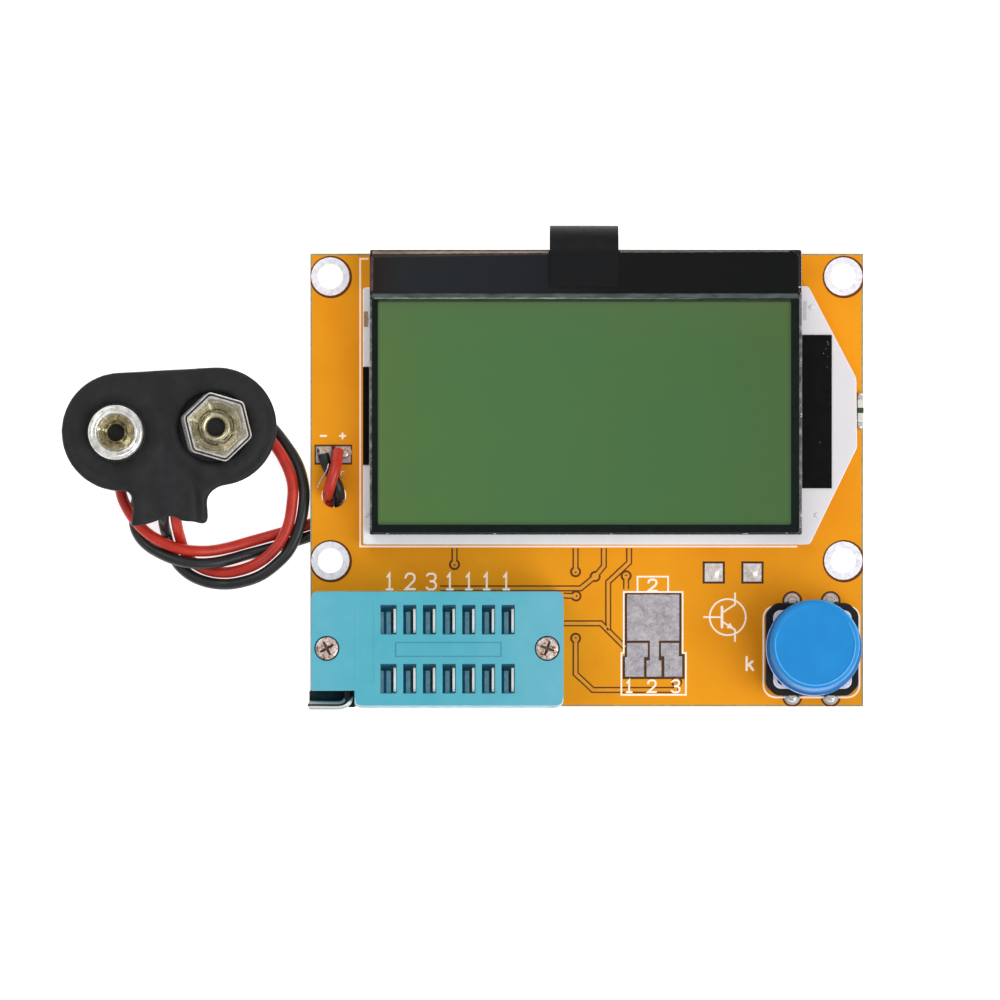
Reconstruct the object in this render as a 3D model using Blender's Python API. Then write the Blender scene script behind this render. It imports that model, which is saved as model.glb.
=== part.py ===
"""Component tester: an open circuit board with a reflective graphic LCD, a 14-way lever (ZIF) test
socket, a push button and a 9 V battery snap on two wires.

All dimensions are in millimetres, in board coordinates: x to the right, y towards the rear (the
display's flex tail), z up from the bench. The empty "tester_origin" carries them into the world,
where the origin is the centre of the object's footprint at bench level.
"""

import math

import bmesh
import bpy
from mathutils import Matrix, Vector

MM = 0.001

# ---- driving dimensions shared between sections ----
BOARD_X, BOARD_Y, BOARD_T = 72.0, 59.0, 1.6
BOARD_BOTTOM = 2.0                   # height of the underside above the bench
BOARD_TOP = BOARD_BOTTOM + BOARD_T
PART_Z = BOARD_TOP + 0.05            # underside of parts that stand on the board
WIRE_HOLE = (-32.95, -2.0)

PITCH = 2.54
ZIF_COLUMNS = [-25.50 + PITCH * i for i in range(7)]
ZIF_REAR_ROW = -18.04
ZIF_ROWS = (ZIF_REAR_ROW, ZIF_REAR_ROW - 3 * PITCH)
ZIF_CENTRES = [(x, y) for x in ZIF_COLUMNS for y in ZIF_ROWS]
TAIL_X = 0.35                        # contact tail, right of its column's centre
TAIL_SLOT_HALF_Y = 0.45
COVER_X, COVER_Y, COVER_Z = (-35.7, -3.1), (-29.5, -14.4), (11.0, 14.8)
LEVER_X, LEVER_Z, LEVER_R = -30.9, 10.2, 0.575

SWITCH = (29.25, -22.0)
TERMINAL_OFFSETS = {"left": -2.5, "right": 2.5}
TERMINAL_INNER, TERMINAL_OUTER = 6.1, 6.4     # faces of a terminal's legs, from the switch's centre


# ---- scene and materials ----
for old in list(bpy.data.objects):
    bpy.data.objects.remove(old, do_unlink=True)

scene_collection = bpy.context.scene.collection

MATERIALS = {  # name: base colour, roughness, metallic
    "orange_solder_mask": ((0.79, 0.30, 0.006), 0.35, 0.0),
    "tinned_copper": ((0.62, 0.60, 0.60), 0.35, 1.0),
    "blue_nylon": ((0.137, 0.48, 0.60), 0.45, 0.0),
    "polished_steel": ((0.70, 0.70, 0.68), 0.2, 1.0),
    "contact_strip": ((0.82, 0.79, 0.70), 0.28, 1.0),
    "white_light_guide": ((0.86, 0.85, 0.88), 0.4, 0.0),
    "display_glass": ((0.075, 0.173, 0.063), 0.12, 0.0),
    "black_bar": ((0.012, 0.014, 0.016), 0.25, 0.0),
    "polarizer": ((0.09, 0.19, 0.07), 0.2, 0.0),
    "black_flex": ((0.02, 0.02, 0.02), 0.45, 0.0),
    "black_plastic": ((0.02, 0.02, 0.021), 0.5, 0.0),
    "blue_button": ((0.022, 0.282, 0.694), 0.4, 0.0),
    "chip_epoxy": ((0.03, 0.03, 0.032), 0.55, 0.0),
    "yellow_tantalum": ((0.75, 0.46, 0.06), 0.5, 0.0),
    "black_leathercloth": ((0.028, 0.030, 0.032), 0.55, 0.0),
    "fibre_board": ((0.16, 0.09, 0.045), 0.8, 0.0),
    "red_insulation": ((0.53, 0.025, 0.02), 0.4, 0.0),
    "black_insulation": ((0.02, 0.022, 0.022), 0.4, 0.0),
    "white_led": ((0.85, 0.82, 0.6), 0.4, 0.0),
}


def add_material(name, rgb, roughness, metallic):
    material = bpy.data.materials.new(name)
    material.use_nodes = True
    inputs = material.node_tree.nodes["Principled BSDF"].inputs
    inputs["Base Color"].default_value = (*rgb, 1.0)
    inputs["Roughness"].default_value = roughness
    inputs["Metallic"].default_value = metallic
    material.diffuse_color = (*rgb, 1.0)
    return material


MATERIAL = {name: add_material(name, *values) for name, values in MATERIALS.items()}


# ---- empties: the frame, and the axes its moving groups hang from ----
def place(obj, origin, parent):
    """Puts obj at a point in board coordinates, under a parent that knows its own such point."""
    obj.parent = parent
    base = parent["board_mm"] if parent is not None else (0.0, 0.0, 0.0)
    obj.location = [(a - b) * MM for a, b in zip(origin, base)]


def add_empty(name, origin, parent=None):
    node = bpy.data.objects.new(name, None)
    scene_collection.objects.link(node)
    node.empty_display_size = 0.004
    node["board_mm"] = origin
    place(node, origin, parent)
    return node


ROOT = add_empty("tester_origin", (0.0, 0.0, 0.0))
LEVER_AXIS = add_empty("lever_axis", (LEVER_X, -28.0, LEVER_Z), ROOT)
COVER_AXIS = add_empty("cover_slide_axis", (sum(COVER_X) / 2, sum(COVER_Y) / 2, COVER_Z[0]), ROOT)
BUTTON_AXIS = add_empty("button_axis", (*SWITCH, 8.0), ROOT)
SNAP_AXIS = add_empty("snap_lead_axis", (*WIRE_HOLE, BOARD_BOTTOM), ROOT)

SHARP_ANGLE = math.radians(35.0)     # edges sharper than this stay hard


def add_object(name, shape, origin, parent):
    """An object from a bmesh in board coordinates, with its own origin at the point given."""
    bmesh.ops.recalc_face_normals(shape, faces=shape.faces)
    bmesh.ops.translate(shape, verts=shape.verts, vec=-Vector(origin))
    bmesh.ops.scale(shape, verts=shape.verts, vec=(MM, MM, MM))
    mesh = bpy.data.meshes.new(name)
    shape.to_mesh(mesh)
    shape.free()
    obj = bpy.data.objects.new(name, mesh)
    scene_collection.objects.link(obj)
    place(obj, origin, parent)
    return obj


def make(name, shape, material, origin, parent=ROOT):
    obj = add_object(name, shape, origin, parent)
    obj.data.materials.append(MATERIAL[material])
    obj.data.shade_smooth()
    obj.data.set_sharp_from_angle(angle=SHARP_ANGLE)
    return obj


def boolean(obj, operation, shape):
    """Cuts or joins a shape with obj through a hidden helper under the same parent."""
    tool = add_object(f"{obj.name}_{operation.lower()}", shape, (0.0, 0.0, 0.0), obj.parent)
    tool.hide_render = True
    tool.display_type = "WIRE"
    modifier = obj.modifiers.new(operation.title(), "BOOLEAN")
    modifier.operation = operation
    modifier.solver = "EXACT"
    modifier.use_self = True
    modifier.object = tool


def cut(obj, shape):
    boolean(obj, "DIFFERENCE", shape)


# ---- shape helpers: each adds one closed shell to a bmesh, in mm, and returns the bmesh ----
def extrude(shape, points, offset):
    face = shape.faces.new([shape.verts.new(point) for point in points])
    moved = bmesh.ops.extrude_face_region(shape, geom=[face])["geom"]
    verts = [item for item in moved if isinstance(item, bmesh.types.BMVert)]
    bmesh.ops.translate(shape, verts=verts, vec=offset)
    return shape


def prism(shape, outline, z0, z1):
    return extrude(shape, [(x, y, z0) for x, y in outline], (0, 0, z1 - z0))


def box(shape, x0, x1, y0, y1, z0, z1):
    return prism(shape, [(x0, y0), (x1, y0), (x1, y1), (x0, y1)], z0, z1)


def span(centre, half):
    return centre - half, centre + half


def box_at(shape, x, y, half_x, half_y, z0, z1):
    return box(shape, *span(x, half_x), *span(y, half_y), z0, z1)


def ring_points(x, y, radius, count, start=0.0):
    angles = [start + 2 * math.pi * i / count for i in range(count)]
    return [(x + radius * math.cos(a), y + radius * math.sin(a)) for a in angles]


def cylinder(shape, x, y, radius, z0, z1, count):
    return prism(shape, ring_points(x, y, radius, count), z0, z1)


def rounded(x0, x1, y0, y1, radius, count):
    """Outline of a rectangle whose corners are arcs of `count` segments."""
    points = []
    for x, y, first in ((x1 - radius, y1 - radius, 0), (x0 + radius, y1 - radius, 90),
                        (x0 + radius, y0 + radius, 180), (x1 - radius, y0 + radius, 270)):
        for i in range(count + 1):
            angle = math.radians(first + 90 * i / count)
            points.append((x + radius * math.cos(angle), y + radius * math.sin(angle)))
    return points


def lathe(shape, x, y, profile, count):
    """A closed profile of (radius, z) turned about the vertical line at x, y."""
    rings = []
    for radius, z in profile:
        points = [(x, y)] if radius < 1e-6 else ring_points(x, y, radius, count)
        rings.append([shape.verts.new((*point, z)) for point in points])
    for ring, after in zip(rings, rings[1:] + rings[:1]):
        if len(ring) == len(after) == 1:
            continue
        for i in range(count):
            j = (i + 1) % count
            corners = (ring[i % len(ring)], ring[j % len(ring)],
                       after[j % len(after)], after[i % len(after)])
            # a point on the axis comes up twice, which leaves a triangle
            shape.faces.new(list(dict.fromkeys(corners)))
    return shape


def loft(shape, sections):
    """Joins sections of equally many points, in order, and closes both ends."""
    loops = [[shape.verts.new(point) for point in section] for section in sections]
    for loop, after in zip(loops, loops[1:]):
        for i in range(len(loop)):
            j = (i + 1) % len(loop)
            shape.faces.new((loop[i], loop[j], after[j], after[i]))
    shape.faces.new(loops[0][::-1])
    shape.faces.new(loops[-1])
    return shape


def smooth_path(points, step):
    """Catmull-Rom curve through the points, resampled about every `step` mm."""
    knots = [Vector(point) for point in points]
    knots = [2 * knots[0] - knots[1]] + knots + [2 * knots[-1] - knots[-2]]
    path = []
    for i in range(1, len(knots) - 2):
        before, start, end, after = knots[i - 1:i + 3]
        count = max(1, round((end - start).length / step))
        for k in range(count):
            t = k / count
            path.append(
                0.5 * ((2 * start) + (end - before) * t
                       + (2 * before - 5 * start + 4 * end - after) * t * t
                       + (3 * start - before - 3 * end + after) * t * t * t)
            )
    path.append(knots[-2])
    return path


def tube(shape, path, radius, count):
    """A round rod swept along the path with mitred joints and flat ends."""
    path = [Vector(point) for point in path]
    tangents = [(b - a).normalized() for a, b in zip(path, path[1:])]
    side = tangents[0].orthogonal().normalized()
    up = tangents[0].cross(side).normalized()
    ring = [path[0] + radius * (math.cos(a) * side + math.sin(a) * up)
            for a in (2 * math.pi * k / count for k in range(count))]
    rings = [ring]
    for i, joint in enumerate(path[1:], 1):
        arriving = tangents[i - 1]
        leaving = tangents[min(i, len(tangents) - 1)]
        normal = (arriving + leaving).normalized()
        # slide each point along the arriving direction onto this joint's plane
        ring = [point + arriving * ((joint - point).dot(normal) / arriving.dot(normal))
                for point in ring]
        rings.append(ring)
    return loft(shape, rings)


# ---- circuit board ----
HOLE_X, HOLE_Y_REAR, HOLE_Y_FRONT = 33.4, 26.5, -10.5
HOLES = {
    "rear_left": (-HOLE_X, HOLE_Y_REAR),
    "rear_right": (HOLE_X, HOLE_Y_REAR),
    "front_left": (-HOLE_X, HOLE_Y_FRONT),
    "front_right": (HOLE_X, HOLE_Y_FRONT),
}
HOLE_R, RING_R, RING_T = 1.6, 2.5, 0.06      # plated bore, and the ring round it
BARREL_R = HOLE_R + 0.1                      # outside of the plating within the board
DRILL_R = HOLE_R + 0.14
RING_GAP = 0.02                              # between the rings or pads and the board
WIRE_HOLE_R = 1.62
BOARD_CUT_Z = (1.0, 5.0)
TAIL_HOLE_HALF_X = 0.35
PIN_HOLE_HALF = (0.65, 0.35)
PIN_Y = (TERMINAL_INNER + TERMINAL_OUTER) / 2

board = make("circuit_board", box_at(bmesh.new(), 0, 0, BOARD_X / 2, BOARD_Y / 2,
                                     BOARD_BOTTOM, BOARD_TOP),
             "orange_solder_mask", (0, 0, BOARD_BOTTOM))
cutter = bmesh.new()
for x, y in HOLES.values():
    cylinder(cutter, x, y, DRILL_R, *BOARD_CUT_Z, 24)
cylinder(cutter, *WIRE_HOLE, WIRE_HOLE_R, *BOARD_CUT_Z, 20)
for x, y in ZIF_CENTRES:
    box_at(cutter, x + TAIL_X, y, TAIL_HOLE_HALF_X, TAIL_SLOT_HALF_Y, *BOARD_CUT_Z)
for offset in TERMINAL_OFFSETS.values():
    for pin_y in (-PIN_Y, PIN_Y):
        box_at(cutter, SWITCH[0] + offset, SWITCH[1] + pin_y, *PIN_HOLE_HALF, *BOARD_CUT_Z)
cut(board, cutter)

low_face, high_face = BOARD_BOTTOM - RING_GAP, BOARD_TOP + RING_GAP
PLATING = [  # radius, z
    (HOLE_R, low_face - RING_T), (RING_R, low_face - RING_T), (RING_R, low_face),
    (BARREL_R, low_face), (BARREL_R, high_face), (RING_R, high_face),
    (RING_R, high_face + RING_T), (HOLE_R, high_face + RING_T),
]
for name, (x, y) in HOLES.items():
    make(f"mounting_hole_plating_{name}", lathe(bmesh.new(), x, y, PLATING, 24),
         "tinned_copper", (x, y, BOARD_BOTTOM))

# surface test pads: tinned plates that small parts are pressed on
PAD_Z = (high_face, high_face + RING_T)
PADS = {  # outline x, y
    "smd_test_pad_2": [
        (5.24, -20.90), (5.24, -14.91), (12.04, -14.91), (12.04, -20.90),
        (9.39, -20.90), (9.39, -23.49), (9.72, -23.49), (9.72, -25.60),
        (7.78, -25.60), (7.78, -23.49), (8.21, -23.49), (8.21, -20.90)],
    "smd_test_pad_1": [
        (5.24, -21.22), (7.94, -21.22), (7.94, -23.05), (7.45, -23.05),
        (7.45, -25.60), (4.97, -25.60), (4.97, -23.05), (5.24, -23.05)],
    "smd_test_pad_3": [
        (9.66, -21.22), (11.99, -21.22), (11.99, -22.94), (12.42, -22.94),
        (12.42, -25.60), (10.10, -25.60), (10.10, -22.94), (9.66, -22.94)],
}
for name, outline in PADS.items():
    make(name, prism(bmesh.new(), outline, *PAD_Z), "tinned_copper", (*outline[0], PAD_Z[0]))

# ---- lever test socket: base ----
BASE_X, BASE_Y, BASE_Z = (-35.3, -3.2), (-29.0, -14.9), (PART_Z, 10.8)
SLOT_HALF_X, SLOT_HALF_Y = 0.84, 1.9
BASE_POCKETS = (  # x from and to (right of the column's centre), half length in y, z from and to
    (0.05, 0.95, SLOT_HALF_Y, 5.2, 12.0),                           # contact's chamber
    (TAIL_X - 0.32, TAIL_X + 0.3, TAIL_SLOT_HALF_Y, 3.0, 5.6),      # tail's slot
    (-0.86, -0.5, SLOT_HALF_Y, 8.8, 12.0),                          # relief beside the rib
)
COVER_SLIDE = 0.8                    # the cover's travel in x
CRANK = COVER_SLIDE / 2              # lever's cranked middle: this far left and this far up
CRANK_Y = (-26.5, -23.1)             # room for the crank
GROOVE = LEVER_R + 0.08              # half width of the lever's bearing
SCREWS = {"left": (-33.65, -21.75), "right": (-5.2, -21.75)}

base = make("zif_base", prism(bmesh.new(), rounded(*BASE_X, *BASE_Y, 0.6, 2), *BASE_Z),
            "blue_nylon", (BASE_X[0], BASE_Y[0], BASE_Z[0]))
cutter = bmesh.new()
for x, y in ZIF_CENTRES:
    for left, right, half_y, z0, z1 in BASE_POCKETS:
        box(cutter, x + left, x + right, *span(y, half_y), z0, z1)
cut(base, cutter)

# the lever's bearing, a wider pocket for its crank, and a corner left open for its arm
cutter = bmesh.new()
box(cutter, *span(LEVER_X, GROOVE), -27.6, -22.65, LEVER_Z - GROOVE, 12.0)
box(cutter, *span(LEVER_X, 1.15), *CRANK_Y, LEVER_Z - GROOVE - 0.04, 12.1)
box(cutter, BASE_X[0] - 1, LEVER_X + 0.72, BASE_Y[0] - 1, -27.3, 9.3, 12.2)
cut(base, cutter)

# slots the screws slide along, wider below for their feet
cutter = bmesh.new()
for x, y in SCREWS.values():
    for margin, z0, z1 in ((0.7, 3.0, 12.3), (1.15, 2.9, 5.3)):
        box(cutter, x - margin, x + COVER_SLIDE + margin, *span(y, margin), z0, z1)
cut(base, cutter)

# ---- lever test socket: sliding cover ----
COVER_CUT_Z = (10.0, 16.0)
FIRST_SLOT_LEFT = -26.73             # the first column's slots reach further left
SCREW_BORE = [(0, 10.0), (0.66, 10.0), (0.66, 13.3), (1.56, 13.3), (1.56, 16.0), (0, 16.0)]

shape = prism(bmesh.new(), rounded(*COVER_X, *COVER_Y, 0.8, 3), *COVER_Z)
top_front_edge = [edge for edge in shape.edges
                  if all(v.co.z > COVER_Z[1] - 0.01 and v.co.y < COVER_Y[0] + 0.05
                         for v in edge.verts)]
bmesh.ops.bevel(shape, geom=top_front_edge, offset=0.6, segments=2, profile=0.5, affect="EDGES")
cover = make("zif_cover", shape, "blue_nylon", (COVER_X[0], COVER_Y[0], COVER_Z[0]), COVER_AXIS)
cutter = bmesh.new()
for x, y in ZIF_CENTRES:
    left = FIRST_SLOT_LEFT if x == ZIF_COLUMNS[0] else x - SLOT_HALF_X
    box(cutter, left, x + SLOT_HALF_X, *span(y, SLOT_HALF_Y), *COVER_CUT_Z)
for x, y in SCREWS.values():
    lathe(cutter, x, y, SCREW_BORE, 20)
cut(cover, cutter)

# a corner left open for the lever, and the crank's pocket
cutter = bmesh.new()
box(cutter, COVER_X[0] - 1, -30.05, COVER_Y[0] - 1, -27.2, *COVER_CUT_Z)
box(cutter, *span(LEVER_X - CRANK, 0.66), *CRANK_Y, 9.9, 11.75)
cut(cover, cutter)

# ---- lever test socket: screws, contacts and lever ----
SCREW_HEAD_Z = 13.36
SCREW_PROFILE = [  # radius, z
    (0, 4.1), (1.0, 4.1), (1.0, 4.9), (0.58, 5.0), (0.58, SCREW_HEAD_Z), (1.45, SCREW_HEAD_Z),
    (1.45, 14.2), (1.1, 14.5), (0, 14.5),
]
CROSS_LONG, CROSS_SHORT = 0.95, 0.2  # half sizes of the recess in a screw's head
for name, (x, y) in SCREWS.items():
    screw = make(f"zif_cover_screw_{name}", lathe(bmesh.new(), x, y, SCREW_PROFILE, 20),
                 "polished_steel", (x, y, SCREW_HEAD_Z), COVER_AXIS)
    cutter = box_at(bmesh.new(), x, y, CROSS_LONG, CROSS_SHORT, 14.0, 15.0)
    box_at(cutter, x, y, CROSS_SHORT, CROSS_LONG, 13.99, 15.1)
    cut(screw, cutter)

# a contact is a stamped strip: a wide blade bent along its height, and a narrow tail
BLADE_X = 0.60                       # blade's centre, right of the column's centre
BLADE_HALF, TAIL_HALF, STRIP_HALF_T = SLOT_HALF_Y - 0.2, 0.3, 0.15
CONTACT_STATIONS = [  # z, half width in y, x from the column's centre
    (12.7, BLADE_HALF - 0.35, BLADE_X),
    (12.4, BLADE_HALF, BLADE_X),
    (10.2, BLADE_HALF, BLADE_X),
    (8.0, BLADE_HALF, BLADE_X - 0.12),
    (6.2, BLADE_HALF, TAIL_X + 0.02),
    (5.9, TAIL_HALF, TAIL_X),
    (0.0, TAIL_HALF, TAIL_X),
]
for row, y in zip(("rear", "front"), ZIF_ROWS):
    for i, x in enumerate(ZIF_COLUMNS):
        sections = []
        for z, half, bend in CONTACT_STATIONS:
            left, right = span(x + bend, STRIP_HALF_T)
            front, rear = span(y, half)
            sections.append([(left, front, z), (right, front, z), (right, rear, z), (left, rear, z)])
        make(f"zif_contact_{row}_{i + 1}", loft(bmesh.new(), sections), "contact_strip",
             (x + TAIL_X, y, BOARD_TOP))

LEVER_PATH = [  # x, y, z from the arm's free end on the left to the end past the crank
    (-36.9, -29.2, LEVER_Z), (-34.8, -29.2, LEVER_Z), (-32.6, -29.2, LEVER_Z),
    (-31.75, -29.12, LEVER_Z), (-31.15, -28.75, LEVER_Z), (LEVER_X, -28.1, LEVER_Z),
    (LEVER_X, -27.4, LEVER_Z), (LEVER_X, -26.2, LEVER_Z),
    (LEVER_X - CRANK, -25.6, LEVER_Z + CRANK), (LEVER_X - CRANK, -24.0, LEVER_Z + CRANK),
    (LEVER_X, -23.4, LEVER_Z), (LEVER_X, -22.75, LEVER_Z),
]
make("zif_lever", tube(bmesh.new(), LEVER_PATH, LEVER_R, 14), "polished_steel",
     (LEVER_X, -28.0, LEVER_Z), LEVER_AXIS)

# ---- display ----
GLASS_X = (-28.2, 27.85)
GLASS_T = 1.1
GLASS_GAP = 0.03                     # air between stacked layers
REAR_GLASS_Y, FRONT_GLASS_Y = (-7.1, 29.9), (-7.1, 23.9)
DISPLAY_Y = sum(FRONT_GLASS_Y) / 2
GUIDE_Z = (BOARD_TOP + 0.1, 6.4)
REAR_GLASS_Z = (6.45, 6.45 + GLASS_T)
LEDGE_Z = REAR_GLASS_Z[1] + GLASS_GAP    # underside of what lies on the rear glass
FRONT_GLASS_Z = (LEDGE_Z, LEDGE_Z + GLASS_T)
FILM_Z = (FRONT_GLASS_Z[1] + GLASS_GAP, 8.88)
GUIDE_OUTLINE = [(-29.1, -8.4), (28.95, -8.4), (35.1, 4.24), (35.0, 13.24), (28.75, 25.2),
                 (-29.1, 25.0)]
BAR_FRONT, BAR_TOP = 24.05, 8.72
BAR_OUTLINE = [  # the right rear corner is cut off in two steps
    (GLASS_X[0], BAR_FRONT), (GLASS_X[1], BAR_FRONT), (GLASS_X[1], 27.9),
    (27.26, 29.31), (25.85, REAR_GLASS_Y[1]), (GLASS_X[0], REAR_GLASS_Y[1]),
]

make("lcd_light_guide", prism(bmesh.new(), GUIDE_OUTLINE, *GUIDE_Z), "white_light_guide",
     (0, DISPLAY_Y, GUIDE_Z[0]))
make("lcd_rear_glass", box(bmesh.new(), *GLASS_X, *REAR_GLASS_Y, *REAR_GLASS_Z),
     "display_glass", (0, DISPLAY_Y, REAR_GLASS_Z[0]))
make("lcd_front_glass", box(bmesh.new(), *GLASS_X, *FRONT_GLASS_Y, *FRONT_GLASS_Z),
     "display_glass", (0, DISPLAY_Y, FRONT_GLASS_Z[0]))
make("lcd_front_polarizer", box(bmesh.new(), -27.9, 27.5, -6.8, 23.6, *FILM_Z), "polarizer",
     (0, DISPLAY_Y, FILM_Z[0]))
make("lcd_driver_chip", box(bmesh.new(), -9.0, 9.0, 25.6, 27.2, LEDGE_Z, 8.05), "chip_epoxy",
     (0, 26.4, LEDGE_Z))
bar = make("lcd_bar_cover", prism(bmesh.new(), BAR_OUTLINE, LEDGE_Z, BAR_TOP), "black_bar",
           (0, 27.0, LEDGE_Z))
cut(bar, box(bmesh.new(), -9.6, 9.6, 25.1, 27.7, 7.0, 8.25))     # room for the driver chip

# flex tail: a strip that leaves the bar, wraps round the board's rear edge and ends under it
FLEX_LEFT, FLEX_RIGHT = -4.82, 4.07
FLEX_T = 0.15
FLEX_TOP_Z, FLEX_LOW_Z = 8.90, 1.90  # middle of the strip over the bar and under the board
bend_radius = (FLEX_TOP_Z - FLEX_LOW_Z) / 2
bend_y, bend_z = BOARD_Y / 2, (FLEX_TOP_Z + FLEX_LOW_Z) / 2
bend_angles = [math.pi * i / 16 for i in range(17)]
midline = [(25.0, FLEX_TOP_Z), (27.5, FLEX_TOP_Z)]
midline += [(bend_y + bend_radius * math.sin(a), bend_z + bend_radius * math.cos(a))
            for a in bend_angles]
midline += [(26.0, FLEX_LOW_Z)]
sections = []
for i, (y, z) in enumerate(midline):
    y_before, z_before = midline[max(i - 1, 0)]
    y_after, z_after = midline[min(i + 1, len(midline) - 1)]
    run, rise = y_after - y_before, z_after - z_before
    scale = FLEX_T / 2 / math.hypot(run, rise)
    outer = (y - rise * scale, z + run * scale)
    inner = (y + rise * scale, z - run * scale)
    sections.append([(FLEX_LEFT, *outer), (FLEX_RIGHT, *outer),
                     (FLEX_RIGHT, *inner), (FLEX_LEFT, *inner)])
make("lcd_flex_tail", loft(bmesh.new(), sections), "black_flex", (0, bend_y, bend_z))

TAPE_Z = (6.44, 6.56)
make("lcd_tape_right", box(bmesh.new(), 27.95, 31.8, -1.08, 18.84, *TAPE_Z), "black_plastic",
     (29.9, 8.9, TAPE_Z[0]))
make("lcd_tape_left", box(bmesh.new(), -29.1, -28.3, 1.95, 14.7, *TAPE_Z), "black_plastic",
     (-28.7, 8.3, TAPE_Z[0]))
make("backlight_led", box(bmesh.new(), 35.2, 35.95, 7.0, 11.0, PART_Z, 5.9), "white_led",
     (35.6, 9.0, BOARD_TOP))

# ---- push button ----
SWITCH_X, SWITCH_Y = SWITCH
SWITCH_HALF = 6.0
SWITCH_CHAMFER = 1.2
PLATE_HALF = 5.1
PLATE_Z = (7.30, 7.60)
TERMINAL_Z = (4.15, 4.45)            # bridge between a terminal's two legs
TERMINAL_HALF_W = 0.45
DOME_Z = 5.10                        # rim of the dome
PLUNGER_TOP = 7.2                    # top of its round flange
CAP_Z = 8.2

outline = rounded(*span(SWITCH_X, SWITCH_HALF), *span(SWITCH_Y, SWITCH_HALF), SWITCH_CHAMFER, 1)
body = make("switch_base", prism(bmesh.new(), outline, PART_Z, 7.25), "black_plastic",
            (*SWITCH, BOARD_TOP))
cutter = cylinder(bmesh.new(), *SWITCH, 3.4, 5.0, 8.0, 28)       # well for the dome and plunger
for offset in TERMINAL_OFFSETS.values():
    box_at(cutter, SWITCH_X + offset, SWITCH_Y, 0.55, SWITCH_HALF + 1, 3.0, 4.7)
cut(body, cutter)

outline = rounded(*span(SWITCH_X, PLATE_HALF), *span(SWITCH_Y, PLATE_HALF), 1.0, 3)
plate = make("switch_cover_plate", prism(bmesh.new(), outline, *PLATE_Z), "polished_steel",
             (*SWITCH, PLATE_Z[0]))
cut(plate, cylinder(bmesh.new(), *SWITCH, 2.75, 7.0, 8.0, 28))

TERMINAL_PROFILE = [  # y from the switch's centre, z
    (-TERMINAL_OUTER, 0.0), (-TERMINAL_INNER, 0.0), (-TERMINAL_INNER, TERMINAL_Z[0]),
    (TERMINAL_INNER, TERMINAL_Z[0]), (TERMINAL_INNER, 0.0), (TERMINAL_OUTER, 0.0),
    (TERMINAL_OUTER, TERMINAL_Z[1]), (-TERMINAL_OUTER, TERMINAL_Z[1]),
]
for name, offset in TERMINAL_OFFSETS.items():
    x = SWITCH_X + offset
    points = [(x - TERMINAL_HALF_W, SWITCH_Y + y, z) for y, z in TERMINAL_PROFILE]
    make(f"switch_terminal_{name}", extrude(bmesh.new(), points, (2 * TERMINAL_HALF_W, 0, 0)),
         "tinned_copper", (x, SWITCH_Y, TERMINAL_Z[0]))


def dome_arc(radius, height):
    """Quarter ellipse of (radius, z) from the dome's rim to its crown on the axis."""
    angles = [math.radians(a) for a in range(0, 90, 15)]
    points = [(radius * math.cos(a), DOME_Z + height * math.sin(a)) for a in angles]
    return points + [(0.0, DOME_Z + height)]


profile = dome_arc(2.9, 0.90) + dome_arc(2.7, 0.72)[::-1]
make("switch_dome", lathe(bmesh.new(), *SWITCH, profile, 24), "polished_steel",
     (*SWITCH, DOME_Z))

PLUNGER_PROFILE = [(0, 6.08), (0.8, 6.08), (0.8, 6.4), (3.1, 6.4), (3.1, PLUNGER_TOP),
                   (0, PLUNGER_TOP)]
plunger = make("switch_plunger", lathe(bmesh.new(), *SWITCH, PLUNGER_PROFILE, 24),
               "black_plastic", (*SWITCH, PLUNGER_TOP), BUTTON_AXIS)
boolean(plunger, "UNION", box_at(bmesh.new(), *SWITCH, 1.8, 1.8, 6.9, 10.6))     # square stem

CAP_PROFILE = [(0, CAP_Z), (6.2, CAP_Z), (6.2, 9.2), (5.75, 9.45), (5.65, 13.6), (5.45, 14.2),
               (5.05, 14.5), (0, 14.6)]
cap = make("button_cap", lathe(bmesh.new(), *SWITCH, CAP_PROFILE, 40), "blue_button",
           (*SWITCH, CAP_Z), BUTTON_AXIS)
cut(cap, box_at(bmesh.new(), *SWITCH, 1.85, 1.85, 7.0, 10.7))    # hole for the stem

# ---- parts under the board ----
UNDER = BOARD_BOTTOM - 0.04          # top of the leads
BODY_TOP = UNDER - 0.02
CHIP_TAPER = 0.08
LEAD_OVERLAP = 0.25                  # how far a lead reaches into the body
SMALL_LEAD = (0.45, 0.9, 0.35)
# leads are (x from the chip's centre, side): side -1 is the front, 1 the rear
SMALL_LEADS = [(-0.95, -1), (0.95, -1), (0, 1)]
REGULATOR_LEADS = [(-1.5, -1), (0, -1), (1.5, -1), (0, 1)]
CONTROLLER_LEADS = [(0.8 * (k - 3.5), side) for k in range(8) for side in (-1, 1)]

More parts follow.
